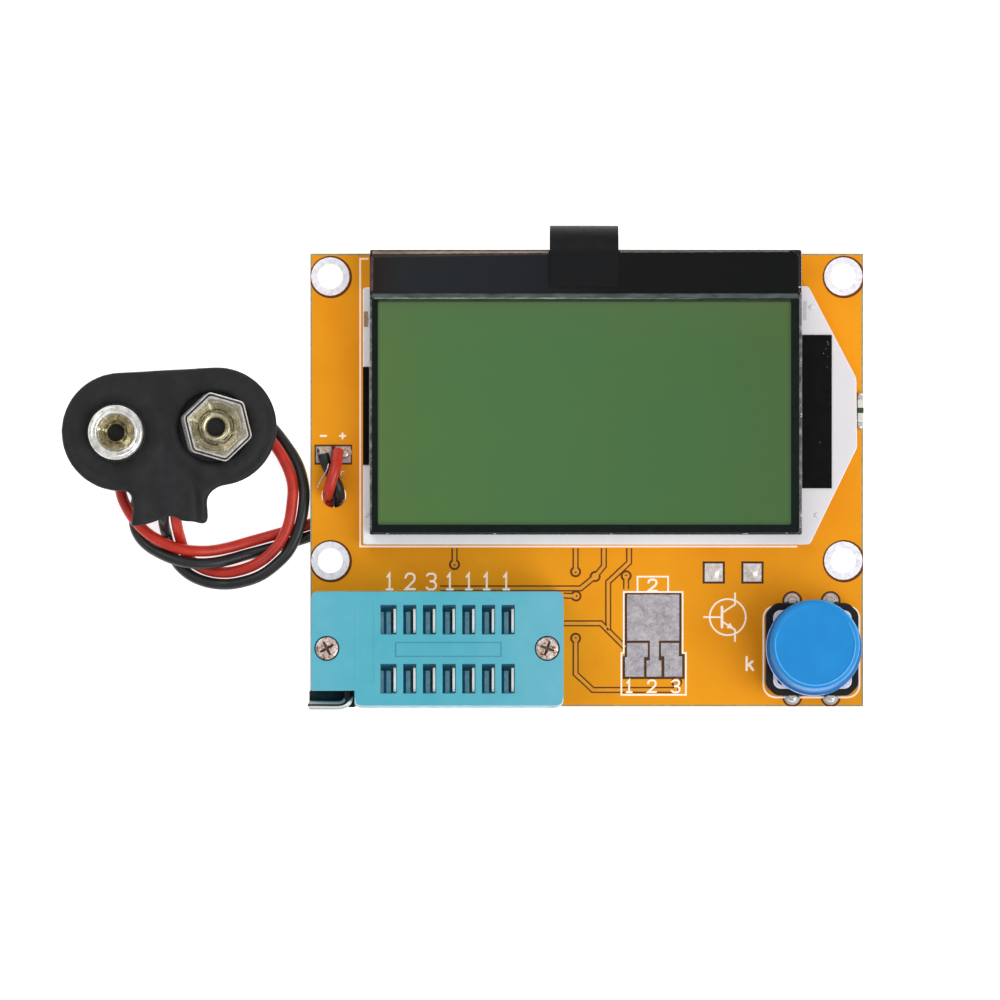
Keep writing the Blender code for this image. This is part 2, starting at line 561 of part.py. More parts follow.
CHIPS = [  # name, material, centre x y, size x y z, leads, lead size x y z
    ("microcontroller", "chip_epoxy", (-2.0, 6.0), (7.0, 7.0, 1.1),
     CONTROLLER_LEADS, (0.35, 1.0, 0.2)),
    ("tantalum_capacitor", "yellow_tantalum", (18.0, 22.0), (7.3, 4.3, UNDER), [], None),
    ("voltage_regulator", "chip_epoxy", (-21.0, 8.0), (4.5, 2.6, 1.4),
     REGULATOR_LEADS, (0.5, 1.2, 0.4)),
    ("voltage_reference", "chip_epoxy", (-11.5, -4.0), (2.9, 1.4, 1.0), SMALL_LEADS, SMALL_LEAD),
    ("power_transistor", "chip_epoxy", (-23.0, 0.5), (2.9, 1.4, 1.0), SMALL_LEADS, SMALL_LEAD),
    ("latch_transistor", "chip_epoxy", (-16.5, 0.5), (2.9, 1.4, 1.0), SMALL_LEADS, SMALL_LEAD),
    ("probe_resistor_low", "chip_epoxy", (10.0, -4.5), (2.0, 1.25, 0.5), [], None),
    ("probe_resistor_high", "chip_epoxy", (10.0, -8.0), (2.0, 1.25, 0.5), [], None),
]


def add_chip(name, material, centre, size, leads, lead_size):
    """A body that tapers downwards from the board, and its leads as one solid with it."""
    x, y = centre
    width, depth, height = size
    shape = box_at(bmesh.new(), x, y, width / 2, depth / 2, UNDER - height, BODY_TOP)
    for vert in shape.verts:
        if vert.co.z < UNDER - height / 2:
            vert.co.x -= math.copysign(CHIP_TAPER, vert.co.x - x)
            vert.co.y -= math.copysign(CHIP_TAPER, vert.co.y - y)
    chip = make(name, shape, material, (x, y, UNDER))
    if not leads:
        return
    lead_width, lead_length, lead_height = lead_size
    shape = bmesh.new()
    for offset, side in leads:
        lead_y = y + side * (depth / 2 + lead_length / 2 - LEAD_OVERLAP)
        front, rear = span(lead_y, lead_length / 2)
        box(shape, *span(x + offset, lead_width / 2), front - 0.1, rear,
            UNDER - lead_height, UNDER)
    boolean(chip, "UNION", shape)


for row in CHIPS:
    add_chip(*row)

CRYSTAL_X, CRYSTAL_Y = (-22.0, -10.6), (19.6, 24.3)
make("crystal", prism(bmesh.new(), rounded(*CRYSTAL_X, *CRYSTAL_Y, 2.3, 5), 0.0, BODY_TOP),
     "polished_steel", (sum(CRYSTAL_X) / 2, sum(CRYSTAL_Y) / 2, UNDER))

# ---- battery snap: laid out about its own centre, its length along x, then tilted ----
SNAP = (-54.3, 6.6)
SNAP_TILT = math.radians(3.2)
SNAP_L, SNAP_W = 28.0, 15.4
SNAP_PITCH = 12.7                    # between the stud and the socket
SNAP_BACK_Z = (3.15, 3.95)
SNAP_BOARD_Z = (4.0, 5.0)
SNAP_COVER_Z = (4.0, 6.4)
SNAP_METAL_Z = 5.03                  # stud's flange and socket rest here, on the fibre board
SNAP_ORIGIN = (*SNAP, SNAP_BACK_Z[0])
SNAP_FRAME = Matrix.Translation((*SNAP, 0)) @ Matrix.Rotation(SNAP_TILT, 4, "Z")


def on_snap(points):
    return [tuple((SNAP_FRAME @ Vector((x, y, 0)))[:2]) for x, y in points]


def snap_outline(length, width, count, neck=None):
    """A stadium, with a neck at the front when given as (root half width, end half width, end y)."""
    radius, half = width / 2, length / 2 - width / 2
    points = []
    for centre, first in ((half, -90), (-half, 90)):
        for i in range(count + 1):
            angle = math.radians(first + 180 * i / count)
            points.append((centre + radius * math.cos(angle), radius * math.sin(angle)))
    if neck:
        root, end, y = neck
        points += [(-root - 1.2, -radius), (-root, -radius - 1.1), (-end, y),
                   (-end * 0.45, y + 0.9), (end * 0.45, y + 1.1), (end, y - 0.1),
                   (root, -radius - 1.1), (root + 1.2, -radius)]
    return on_snap(points)


STUD, SOCKET = on_snap([(-SNAP_PITCH / 2 - 0.55, -0.05), (SNAP_PITCH / 2 - 0.55, -0.05)])

outline = snap_outline(SNAP_L - 0.4, SNAP_W - 0.4, 12, (5.4, 5.0, -10.6))
make("snap_back", prism(bmesh.new(), outline, *SNAP_BACK_Z), "black_leathercloth", SNAP_ORIGIN,
     SNAP_AXIS)
snap_board = make("snap_board", prism(bmesh.new(), snap_outline(24.2, 11.6, 10), *SNAP_BOARD_Z),
                  "fibre_board", SNAP_ORIGIN, SNAP_AXIS)
outline = snap_outline(SNAP_L, SNAP_W, 12, (5.6, 5.0, -12.3))
snap_cover = make("snap_cover", prism(bmesh.new(), outline, *SNAP_COVER_Z),
                  "black_leathercloth", SNAP_ORIGIN, SNAP_AXIS)

# recess over the fibre board, and the wires' channel through the neck
cutter = prism(bmesh.new(), snap_outline(24.6, 12.0, 10), 3.5, 5.05)
prism(cutter, on_snap([(-2.6, -12.8), (2.4, -12.8), (2.4, -5.0), (-2.6, -5.0)]), 3.4, 5.62)
cut(snap_cover, cutter)
cutter = cylinder(bmesh.new(), *STUD, 3.7, 4.5, 7.0, 28)
cylinder(cutter, *SOCKET, 4.8, 4.5, 7.0, 28)
cut(snap_cover, cutter)
cutter = cylinder(bmesh.new(), *STUD, 1.3, 3.5, 5.5, 16)
cylinder(cutter, *SOCKET, 1.4, 3.5, 5.5, 16)
cut(snap_board, cutter)

STUD_PROFILE = [  # radius, z
    (1.05, 4.02), (1.2, 4.02), (1.2, SNAP_METAL_Z), (3.4, SNAP_METAL_Z), (3.4, 5.6), (2.8, 5.8),
    (2.75, 6.9), (2.92, 7.8), (2.7, 8.8), (2.2, 9.05), (1.3, 8.9), (1.05, 8.6),
]
make("snap_stud", lathe(bmesh.new(), *STUD, STUD_PROFILE, 28), "polished_steel",
     (*STUD, SNAP_METAL_Z), SNAP_AXIS)

SOCKET_BORE = [(0, 5.6), (3.05, 5.6), (2.9, 7.4), (3.1, 8.6), (3.4, 9.3), (0, 9.3)]
hexagon = ring_points(*SOCKET, 4.65, 6, start=math.radians(-15.6))
socket = make("snap_socket", prism(bmesh.new(), hexagon, SNAP_METAL_Z, 9.0), "polished_steel",
              (*SOCKET, SNAP_METAL_Z), SNAP_AXIS)
cut(socket, lathe(bmesh.new(), *SOCKET, SOCKET_BORE, 28))
cut(socket, cylinder(bmesh.new(), *SOCKET, 1.1, 4.0, 6.5, 20))

# ---- wires: from the snap's neck round one coil, under the board, up its hole and down to its top
WIRE_R = 0.725
WIRE_STEP = 1.1
RED_PATH = [  # x, y, z
    (-53.5, -2.5, 4.8), (-53.5, -4.6, 4.5), (-53.3, -6.2, 3.15), (-53.0, -7.6, 1.5),
    (-52.5, -9.2, 0.85), (-51.4, -10.7, 0.78), (-49.4, -11.75, 0.75), (-47.2, -12.05, 0.8),
    (-45.2, -11.75, 1.5), (-43.2, -11.0, 2.25), (-41.4, -9.75, 2.3), (-39.9, -8.0, 2.3),
    (-38.9, -5.8, 2.3), (-38.45, -3.3, 2.3), (-38.35, -0.5, 2.3), (-39.4, 2.5, 2.3),
    (-41.5, 5.5, 2.3), (-45.5, 8.6, 2.3), (-50.5, 9.9, 2.3), (-55.5, 9.2, 2.3),
    (-59.4, 6.0, 2.3), (-61.1, 1.8, 2.3), (-60.7, -1.6, 2.3), (-60.0, -3.5, 2.3),
    (-58.9, -5.2, 2.35), (-57.3, -6.85, 2.45), (-55.3, -8.1, 2.6), (-53.1, -8.95, 2.55),
    (-50.9, -9.25, 2.4), (-48.8, -9.2, 1.9), (-46.5, -8.75, 1.2), (-44.2, -8.1, 0.84),
    (-41.0, -7.2, 0.77), (-37.8, -6.3, 0.75), (-35.4, -5.45, 0.75), (-34.1, -4.5, 0.75),
    (-33.72, -3.3, 0.85), (-33.7, -2.3, 1.75), (-33.7, -2.0, 3.0), (-33.7, -1.75, 4.6),
    (-33.5, -1.1, 5.8), (-32.9, 0.4, 6.2), (-32.2, 2.0, 5.8), (-31.85, 3.0, 4.95),
    (-31.8, 3.5, 4.42),
]
BLACK_PATH = [  # x, y, z
    (-55.1, -2.5, 4.8), (-55.1, -4.6, 4.5), (-55.05, -5.8, 2.95), (-54.85, -6.9, 1.2),
    (-54.5, -8.3, 0.85), (-53.5, -10.7, 0.78), (-51.8, -12.35, 0.75), (-49.6, -13.3, 0.75),
    (-47.2, -13.6, 0.85), (-44.9, -13.3, 1.6), (-42.6, -12.5, 2.25), (-40.6, -11.1, 2.3),
    (-38.8, -9.2, 2.3), (-37.6, -6.6, 2.3), (-36.95, -3.8, 2.3), (-36.86, -1.0, 1.9),
    (-37.65, 2.0, 1.4), (-39.3, 4.7, 1.0), (-41.4, 7.2, 0.75), (-44.5, 9.4, 0.75),
    (-48.5, 10.4, 0.75), (-52.8, 8.6, 0.75), (-55.8, 4.4, 0.75), (-57.6, 0.4, 0.75),
    (-58.8, -3.0, 0.75), (-59.0, -5.6, 0.75), (-58.4, -7.3, 0.8), (-57.2, -8.6, 1.2),
    (-55.7, -9.5, 1.9), (-54.1, -10.2, 2.4), (-52.3, -10.7, 2.5), (-50.3, -10.9, 2.45),
    (-48.3, -10.75, 2.2), (-46.3, -10.3, 1.5), (-44.4, -9.75, 0.88), (-42.5, -9.25, 0.77),
    (-40.3, -8.65, 0.75), (-37.8, -7.9, 0.75), (-35.4, -7.1, 0.75), (-33.3, -6.1, 0.75),
    (-32.3, -4.6, 0.75), (-32.2, -3.3, 0.85), (-32.2, -2.3, 1.75), (-32.2, -2.0, 3.0),
    (-32.2, -1.75, 3.85), (-32.45, -0.7, 4.42), (-33.4, 1.0, 4.45), (-34.1, 2.6, 4.42),
    (-34.3, 3.4, 4.40),
]
for colour, path in (("red", RED_PATH), ("black", BLACK_PATH)):
    make(f"{colour}_wire", tube(bmesh.new(), smooth_path(path, WIRE_STEP), WIRE_R, 10),
         f"{colour}_insulation", path[-1])

# ---- the world origin: centre of the footprint, on the bench ----
bpy.context.view_layer.update()
graph = bpy.context.evaluated_depsgraph_get()
points = []
for obj in scene_collection.objects:
    if obj.type == "MESH" and not obj.hide_render:
        evaluated = obj.evaluated_get(graph)
        points += [obj.matrix_world @ vert.co for vert in evaluated.data.vertices]
low = [min(point[k] for point in points) for k in range(3)]
high = [max(point[k] for point in points) for k in range(3)]
ROOT.location = (-(low[0] + high[0]) / 2, -(low[1] + high[1]) / 2, -low[2])
bpy.context.view_layer.update()
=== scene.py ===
"""A component tester: an orange circuit board with a green display, a blue lever socket and a blue
push button on top, small parts underneath, and a battery snap on two leads to its left.

Sizes are in millimetres, in board coordinates: the origin is the middle of the board, x runs
right, y runs back to the display's flex tail, z runs up. Materials work in world metres.
"""

import math
import random
from functools import cached_property
from itertools import cycle
from typing import NamedTuple

import bmesh
import bpy
from mathutils import Matrix, Vector, noise


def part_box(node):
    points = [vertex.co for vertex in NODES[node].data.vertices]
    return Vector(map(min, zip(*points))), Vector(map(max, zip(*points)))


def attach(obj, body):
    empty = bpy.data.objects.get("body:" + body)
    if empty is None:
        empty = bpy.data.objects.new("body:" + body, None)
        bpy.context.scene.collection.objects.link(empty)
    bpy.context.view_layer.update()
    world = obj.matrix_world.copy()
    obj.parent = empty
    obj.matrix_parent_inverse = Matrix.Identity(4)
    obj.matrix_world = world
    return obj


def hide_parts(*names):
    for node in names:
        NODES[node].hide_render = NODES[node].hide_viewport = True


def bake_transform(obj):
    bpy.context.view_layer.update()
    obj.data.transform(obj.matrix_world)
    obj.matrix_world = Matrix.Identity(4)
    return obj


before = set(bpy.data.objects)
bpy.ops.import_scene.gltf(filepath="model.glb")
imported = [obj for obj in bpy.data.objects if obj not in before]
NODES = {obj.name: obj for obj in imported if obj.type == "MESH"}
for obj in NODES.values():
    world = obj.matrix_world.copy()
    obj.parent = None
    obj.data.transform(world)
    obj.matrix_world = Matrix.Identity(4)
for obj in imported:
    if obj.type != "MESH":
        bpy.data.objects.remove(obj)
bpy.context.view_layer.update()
MM = 0.001
random.seed(7)

board_low, board_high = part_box("circuit_board")
ORIGIN_X = (board_low.x + board_high.x) / 2
ORIGIN_Y = (board_low.y + board_high.y) / 2
TOP = board_high.z / MM
LOW = board_low.z / MM
TO_WORLD = Matrix.Translation((ORIGIN_X, ORIGIN_Y, 0)) @ Matrix.Scale(MM, 4)


def to_world(x, y, z=0.0):
    return TO_WORLD @ Vector((x, y, z))


class Box(NamedTuple):
    left: float
    right: float
    front: float
    back: float
    bottom: float
    top: float

    @property
    def middle(self):
        return (self.left + self.right) / 2, (self.front + self.back) / 2


def cad_box(node):
    """A CAD node's box in board mm."""
    low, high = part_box(node)
    return Box((low.x - ORIGIN_X) / MM, (high.x - ORIGIN_X) / MM,
               (low.y - ORIGIN_Y) / MM, (high.y - ORIGIN_Y) / MM, low.z / MM, high.z / MM)


# =====================================================================  material tools
MATERIALS = {}


class Look:
    """A new material: a Principled shader fed by textures in object space.

    Node inputs are passed by their own names, in lower case with underscores.
    """

    def __init__(self, name):
        material = MATERIALS[name] = bpy.data.materials.new(name)
        material.use_nodes = True
        self.tree = material.node_tree
        self.tree.nodes.clear()
        output = self.node("OutputMaterial")
        self.shader = self.node("BsdfPrincipled")
        self.connect(output.inputs[0], self.shader.outputs[0])
        self.coords = self.node("TexCoord").outputs["Object"]

    def connect(self, socket, value):
        """Links an output to a socket or sets the socket's value; a colour comes without alpha."""
        if isinstance(value, bpy.types.NodeSocket):
            self.tree.links.new(value, socket)
        elif isinstance(value, tuple) and socket.type == "RGBA":
            socket.default_value = (*value, 1.0)
        else:
            socket.default_value = value

    def feed(self, node, inputs):
        for name, value in inputs.items():
            label = name.replace("_", " ").title().replace("Ior", "IOR")
            self.connect(node.inputs[label], value)

    def node(self, kind, settings=None, **inputs):
        node = self.tree.nodes.new("ShaderNode" + kind)
        for name, value in (settings or {}).items():
            setattr(node, name, value)
        self.feed(node, inputs)
        return node

    def shade(self, **inputs):
        self.feed(self.shader, inputs)

    def noise(self, size_mm, detail=3, roughness=0.6, stretch=None):
        vector = self.coords
        if stretch:
            vector = self.node("Mapping", scale=stretch, vector=vector).outputs[0]
        return self.node("TexNoise", scale=1.0 / (size_mm * MM), detail=detail,
                         roughness=roughness, vector=vector).outputs["Fac"]

    def ramp(self, factor, *stops):
        """A colour ramp through (position, colour) stops."""
        node = self.node("ValToRGB")
        elements = node.color_ramp.elements
        while len(elements) > 1:
            elements.remove(elements[0])
        elements[0].position = stops[0][0]
        elements[0].color = (*stops[0][1], 1.0)
        for position, colour in stops[1:]:
            elements.new(position).color = (*colour, 1.0)
        self.connect(node.inputs[0], factor)
        return node.outputs[0]

    def remap(self, value, source=(0.3, 0.7), target=(0.0, 1.0)):
        """Maps the source range to the target; the default source suits a noise."""
        return self.node("MapRange", from_min=source[0], from_max=source[1],
                         to_min=target[0], to_max=target[1], value=value).outputs["Result"]

    def mottle(self, low, high, **noise_settings):
        """A value that drifts between low and high with a noise."""
        return self.remap(self.noise(**noise_settings), target=(low, high))

    def mix(self, factor, a, b, blend="MIX"):
        node = self.node("Mix", {"data_type": "RGBA", "blend_type": blend}, factor=factor, a=a, b=b)
        return node.outputs["Result"]

    def math(self, operation, *values):
        node = self.node("Math", {"operation": operation})
        for socket, value in zip(node.inputs, values):
            self.connect(socket, value)
        return node.outputs[0]

    def axes(self, vector):
        """The X, Y and Z outputs of a vector."""
        node = self.node("SeparateXYZ")
        self.connect(node.inputs[0], vector)
        return node.outputs

    def normal(self, kind="Normal"):
        return self.axes(self.node("NewGeometry").outputs[kind])

    @cached_property
    def position(self):
        return self.axes(self.coords)

    def place(self, axis, start, end, target=(0.0, 1.0)):
        """Maps the stretch from start to end, in board mm along an axis, to the target."""
        source = [to_world(mm, mm, mm)["XYZ".index(axis)] for mm in (start, end)]
        return self.remap(self.position[axis], source, target)

    def bump(self, height, strength, depth_mm):
        """Adds a bump on top of any that the shader already has."""
        bump = self.node("Bump", strength=strength, distance=depth_mm * MM, height=height)
        normal = self.shader.inputs["Normal"]
        if normal.is_linked:
            self.connect(bump.inputs["Normal"], normal.links[0].from_socket)
        self.connect(normal, bump.outputs[0])


def scaled(rgb, factor):
    return tuple(min(1.0, channel * factor) for channel in rgb)


def plastic(name, rgb, roughness, spread=0.08, drift_mm=1.5, grain=0.12, grain_mm=0.06,
            specular=0.5, stretch=None, tint=None):
    """A moulded finish: colour drifts slowly by +-spread or to a tint, with a fine grain."""
    look = Look(name)
    drift = look.noise(size_mm=drift_mm, detail=4, roughness=0.55, stretch=stretch)
    look.shade(
        base_color=look.ramp(drift, (0.3, scaled(rgb, 1 - spread)),
                             (0.7, tint or scaled(rgb, 1 + spread))),
        roughness=look.mottle(roughness - 0.08, roughness + 0.08, size_mm=grain_mm * 4,
                              stretch=stretch),
        specular_ior_level=specular)
    fine = look.noise(size_mm=grain_mm, detail=2, stretch=stretch)
    look.bump(fine, strength=grain, depth_mm=0.02)
    return look


def metal(name, rgb, roughness, brushed=(1, 1, 1), patches=0.15, dark=None):
    """Bare metal with darker patches; brushed stretches its fine lines."""
    look = Look(name)
    patch = look.noise(size_mm=0.9, detail=4)
    lines = look.noise(size_mm=0.25, detail=4, stretch=brushed)
    look.shade(base_color=look.ramp(patch, (0.3, dark or scaled(rgb, 1 - patches)), (0.65, rgb)),
               metallic=1.0,
               roughness=look.remap(lines, target=(roughness - 0.07, roughness + 0.09)))
    look.bump(lines, strength=0.12, depth_mm=0.015)


def speckle(name, *stops, size_mm, roughness, metallic=0.0, detail=4, stretch=None, glow=0.0,
            strength=0.3):
    """A finish broken up into clear flecks: worn plating, chipped edges, dusty sealant."""
    look = Look(name)
    flecks = look.noise(size_mm=size_mm, detail=detail, roughness=0.68, stretch=stretch)
    colour = look.ramp(flecks, *stops)
    look.shade(base_color=colour, metallic=metallic, specular_ior_level=0.3,
               roughness=look.mottle(roughness - 0.1, roughness + 0.1, size_mm=size_mm * 0.4,
                                     stretch=stretch))
    # glow is painted light: the finish gives off light as emission
    if glow:
        look.shade(emission_color=colour, emission_strength=glow)
    look.bump(flecks, strength=strength, depth_mm=0.02)


def insulation(name, rgb, tint):
    look = Look(name)
    drift = look.noise(size_mm=2.2, roughness=0.5)
    fine = look.noise(size_mm=0.3)
    look.shade(base_color=look.ramp(drift, (0.3, scaled(rgb, 0.88)), (0.7, tint)),
               roughness=look.remap(fine, target=(0.30, 0.44)), specular_ior_level=0.45)
    look.bump(drift, strength=0.10, depth_mm=0.06)
    look.bump(fine, strength=0.06, depth_mm=0.01)


# =====================================================================  single materials
def solder_mask():
    """Satin orange on top and bottom, layered laminate on the cut sides, with a faint painted glow."""
    look = Look("orange_solder_mask")
    mask = look.ramp(look.noise(size_mm=9, roughness=0.5), (0.3, (0.76, 0.262, 0.004)),
                     (0.5, (0.80, 0.298, 0.006)), (0.72, (0.83, 0.325, 0.008)))
    weave = look.node("TexBrick", scale=900, color1=(0.50, 0.50, 0.50), color2=(0.55, 0.55, 0.55),
                      mortar=(0.42, 0.42, 0.42), vector=look.coords)
    mask = look.mix(factor=0.05, a=mask, b=weave.outputs["Color"], blend="OVERLAY")
    flat = look.math("ABSOLUTE", look.normal("True Normal")["Z"])
    side = look.remap(flat, source=(0.45, 0.55), target=(1.0, 0.0))
    layers = look.noise(size_mm=1.2, detail=5, roughness=0.7, stretch=(1, 1, 14))
    laminate = look.ramp(layers, (0.3, (0.42, 0.34, 0.14)), (0.6, (0.62, 0.53, 0.27)),
                         (0.8, (0.74, 0.66, 0.40)))
    colour = look.mix(side, mask, laminate)
    fine = look.noise(size_mm=0.4)
    # a faint painted glow lightens the mask, shaded parts included
    look.shade(base_color=colour, emission_color=colour, emission_strength=0.10,
               roughness=look.remap(fine, target=(0.40, 0.54)), specular_ior_level=0.13)
    look.bump(fine, strength=0.10, depth_mm=0.02)
    look.bump(weave.outputs["Fac"], strength=0.05, depth_mm=0.01)


def tinned_copper():
    """Hot-air solder finish: grey-lilac, blotchy, with small bright grains."""
    look = Look("tinned_copper")
    blotch = look.noise(size_mm=1.1, detail=5, roughness=0.7)
    cells = look.node("TexVoronoi", scale=1 / (0.22 * MM), vector=look.coords)
    colour = look.ramp(blotch, (0.25, (0.29, 0.26, 0.29)), (0.5, (0.42, 0.385, 0.42)),
                       (0.75, (0.58, 0.54, 0.56)))
    split = look.node("SeparateColor")
    look.connect(split.inputs[0], cells.outputs["Color"])
    grains = split.outputs[0]
    bright = look.remap(grains, source=(0.0, 1.0), target=(0.0, 0.35))
    look.shade(base_color=look.mix(bright, colour, (0.78, 0.76, 0.76)), metallic=0.75,
               roughness=look.remap(blotch, target=(0.30, 0.52)))
    look.bump(blotch, strength=0.5, depth_mm=0.05)
    look.bump(grains, strength=0.35, depth_mm=0.02)


def silk_ink():
    look = plastic("white_silk_ink", rgb=(0.93, 0.80, 0.66), roughness=0.55, spread=0.05,
                   drift_mm=0.6, grain=0.25, grain_mm=0.08)
    # a painted glow lightens the ink
    look.shade(emission_color=(1.0, 0.90, 0.78), emission_strength=0.20)


def socket_nylon(name, painted_rib_light):
    """Blue nylon, greener towards the middle; for the body, the ribs' upper faces get painted light,
    paler and glowing, and the rest gets a faint painted glow.
    """
    look = Look(name)
    colour = look.ramp(look.noise(size_mm=3.0, detail=4, roughness=0.55),
                       (0.3, (0.116, 0.445, 0.580)), (0.7, (0.146, 0.482, 0.604)))
    across = look.place("X", -35.5, -3.7)
    drift = look.ramp(across, (0.0, (0.86, 0.99, 0.99)), (0.22, (0.68, 0.96, 0.95)),
                      (0.5, (0.58, 0.93, 0.90)), (0.75, (0.76, 0.96, 0.94)),
                      (0.95, (1.0, 1.0, 0.985)))
    colour = look.mix(factor=1.0, a=colour, b=drift, blend="MULTIPLY")
    if painted_rib_light:
        # painted light: upward rib tops deep in the slots are made paler and glow, and the rest of the
        # body glows faintly
        upward = look.remap(look.normal("True Normal")["Z"], source=(0.5, 0.6))
        rib_top = look.math("MULTIPLY", upward, look.place("Z", 10.4, 10.6))
        rib = look.ramp(look.noise(size_mm=0.5), (0.3, (0.085, 0.215, 0.275)),
                        (0.7, (0.155, 0.320, 0.385)))
        colour = look.mix(rib_top, colour, rib)
        look.shade(
            emission_color=look.mix(rib_top, (0.004, 0.040, 0.070), rib),
            emission_strength=look.remap(rib_top, source=(0.0, 1.0), target=(0.50, 0.42)))
    look.shade(base_color=colour, roughness=look.mottle(0.34, 0.50, size_mm=0.4),
               specular_ior_level=0.38)
    look.bump(look.noise(size_mm=0.10, detail=2), strength=0.16, depth_mm=0.02)


def contact_strip():
    """Tinned spring strip: painted light along its top, paler and glowing, and painted shade in dark
    blue below.
    """
    look = Look("contact_strip")
    high = look.place("Z", 9.4, 10.6)
    fleck = look.ramp(look.noise(size_mm=0.6, detail=4), (0.3, (0.82, 0.80, 0.74)),
                      (0.7, (0.98, 0.97, 0.94)))
    # painted light with a glow on the top, painted shade in dark blue lower down
    look.shade(base_color=look.mix(high, (0.012, 0.060, 0.085), fleck), emission_color=fleck,
               emission_strength=look.remap(high, source=(0.0, 1.0), target=(0.0, 0.42)),
               metallic=0.4,
               roughness=look.mottle(0.26, 0.42, size_mm=0.2, stretch=(1, 1, 6)))
    look.bump(look.noise(size_mm=0.3, stretch=(1, 1, 6)), strength=0.15, depth_mm=0.02)


def slot_wall():
    """The end wall of a slot: socket blue at the rim, falling to near-black further down as painted
    shade.
    """
    look = Look("slot_end_wall")
    # painted shade: darker the deeper into the slot
    colour = look.ramp(look.place("Z", 11.6, 14.4), (0.0, (0.006, 0.055, 0.090)),
                       (0.45, (0.009, 0.085, 0.135)), (0.85, (0.030, 0.170, 0.250)),
                       (1.0, (0.070, 0.270, 0.370)))
    colour = look.mix(look.mottle(0.0, 0.3, size_mm=0.6), colour, (0.010, 0.070, 0.105))
    look.shade(base_color=colour, roughness=look.mottle(0.40, 0.56, size_mm=0.4),
               specular_ior_level=0.15)
    look.bump(look.noise(size_mm=0.10, detail=2), strength=0.12, depth_mm=0.02)


def polished_rod():
    """Polished round wire: a painted reflection, a dark line along it between two bright stripes, set
    by which way the surface faces.
    """
    look = Look("polished_rod")
    normal_y = look.normal()["Y"]
    wobble = look.mottle(-0.05, 0.05, size_mm=2.0, roughness=0.5, stretch=(0.4, 1, 1))
    facing = look.remap(look.math("ADD", normal_y, wobble), source=(-1.0, 1.0))
    # painted reflection: the colour follows the surface's facing in y
    painted_reflection = look.ramp(
        facing, (0.0, (0.50, 0.52, 0.53)), (0.20, (0.42, 0.44, 0.45)), (0.30, (0.80, 0.82, 0.82)),
        (0.42, (0.76, 0.77, 0.77)), (0.455, (0.16, 0.16, 0.16)), (0.48, (0.012, 0.010, 0.011)),
        (0.63, (0.014, 0.012, 0.012)), (0.68, (0.38, 0.39, 0.39)), (0.85, (0.46, 0.47, 0.46)),
        (1.0, (0.16, 0.17, 0.17)))
    look.shade(base_color=painted_reflection, metallic=0.25, specular_ior_level=0.35,
               roughness=look.mottle(0.18, 0.32, size_mm=0.25, stretch=(6, 1, 1)))
    look.bump(look.noise(size_mm=0.3, stretch=(6, 1, 1)), strength=0.08, depth_mm=0.015)


def light_guide_acrylic():
    """Milky acrylic with a faint pink cast and a painted glow, greyer to the right as painted shade,
    over a dotted print.
    """
    look = Look("white_light_guide")
    colour = look.ramp(look.noise(size_mm=4, detail=2, roughness=0.5),
                       (0.3, (0.91, 0.87, 0.88)), (0.7, (0.96, 0.93, 0.95)))
    # painted shade: greyer towards the right
    colour = look.mix(look.place("X", 20, 30, target=(0.0, 0.78)), colour, (0.66, 0.635, 0.665))
    dots = look.node("TexVoronoi", scale=1 / (0.8 * MM), randomness=0.0, vector=look.coords)
    dot = look.remap(dots.outputs["Distance"], source=(0.2, 0.28), target=(0.06, 0.0))
    # a faint painted glow
    look.shade(base_color=look.mix(dot, colour, (0.6, 0.6, 0.62)), roughness=0.28,
               emission_color=(1.0, 0.95, 0.96), emission_strength=0.07,
               subsurface_weight=0.15, subsurface_radius=(1, 1, 1), subsurface_scale=0.001)
    look.bump(look.noise(size_mm=0.5, detail=2, roughness=0.5), strength=0.04, depth_mm=0.02)


def display_glass():
    """Glass: near-black from above, dark green walls, and a pale chipped line at the cut."""
    look = Look("display_glass")
    smear = look.noise(size_mm=0.5, detail=4, roughness=0.7)
    normal_z = look.normal()["Z"]
    flat = look.remap(normal_z, source=(0.60, 0.985))
    cut_line = look.ramp(look.noise(size_mm=0.22, detail=4, roughness=0.75),
                         (0.40, (0.035, 0.045, 0.045)), (0.50, (0.26, 0.26, 0.31)),
                         (0.58, (0.74, 0.70, 0.78)))
    wall = look.ramp(look.noise(size_mm=1.6, detail=4, stretch=(1, 1, 5)),
                     (0.30, (0.022, 0.050, 0.042)), (0.55, (0.060, 0.105, 0.090)),
                     (0.75, (0.120, 0.170, 0.150)))
    edge = look.mix(look.remap(normal_z, source=(0.06, 0.30)), wall, cut_line)
    look.shade(base_color=look.mix(flat, edge, (0.012, 0.016, 0.014)),
               roughness=look.remap(smear, target=(0.08, 0.22)), specular_ior_level=0.3)


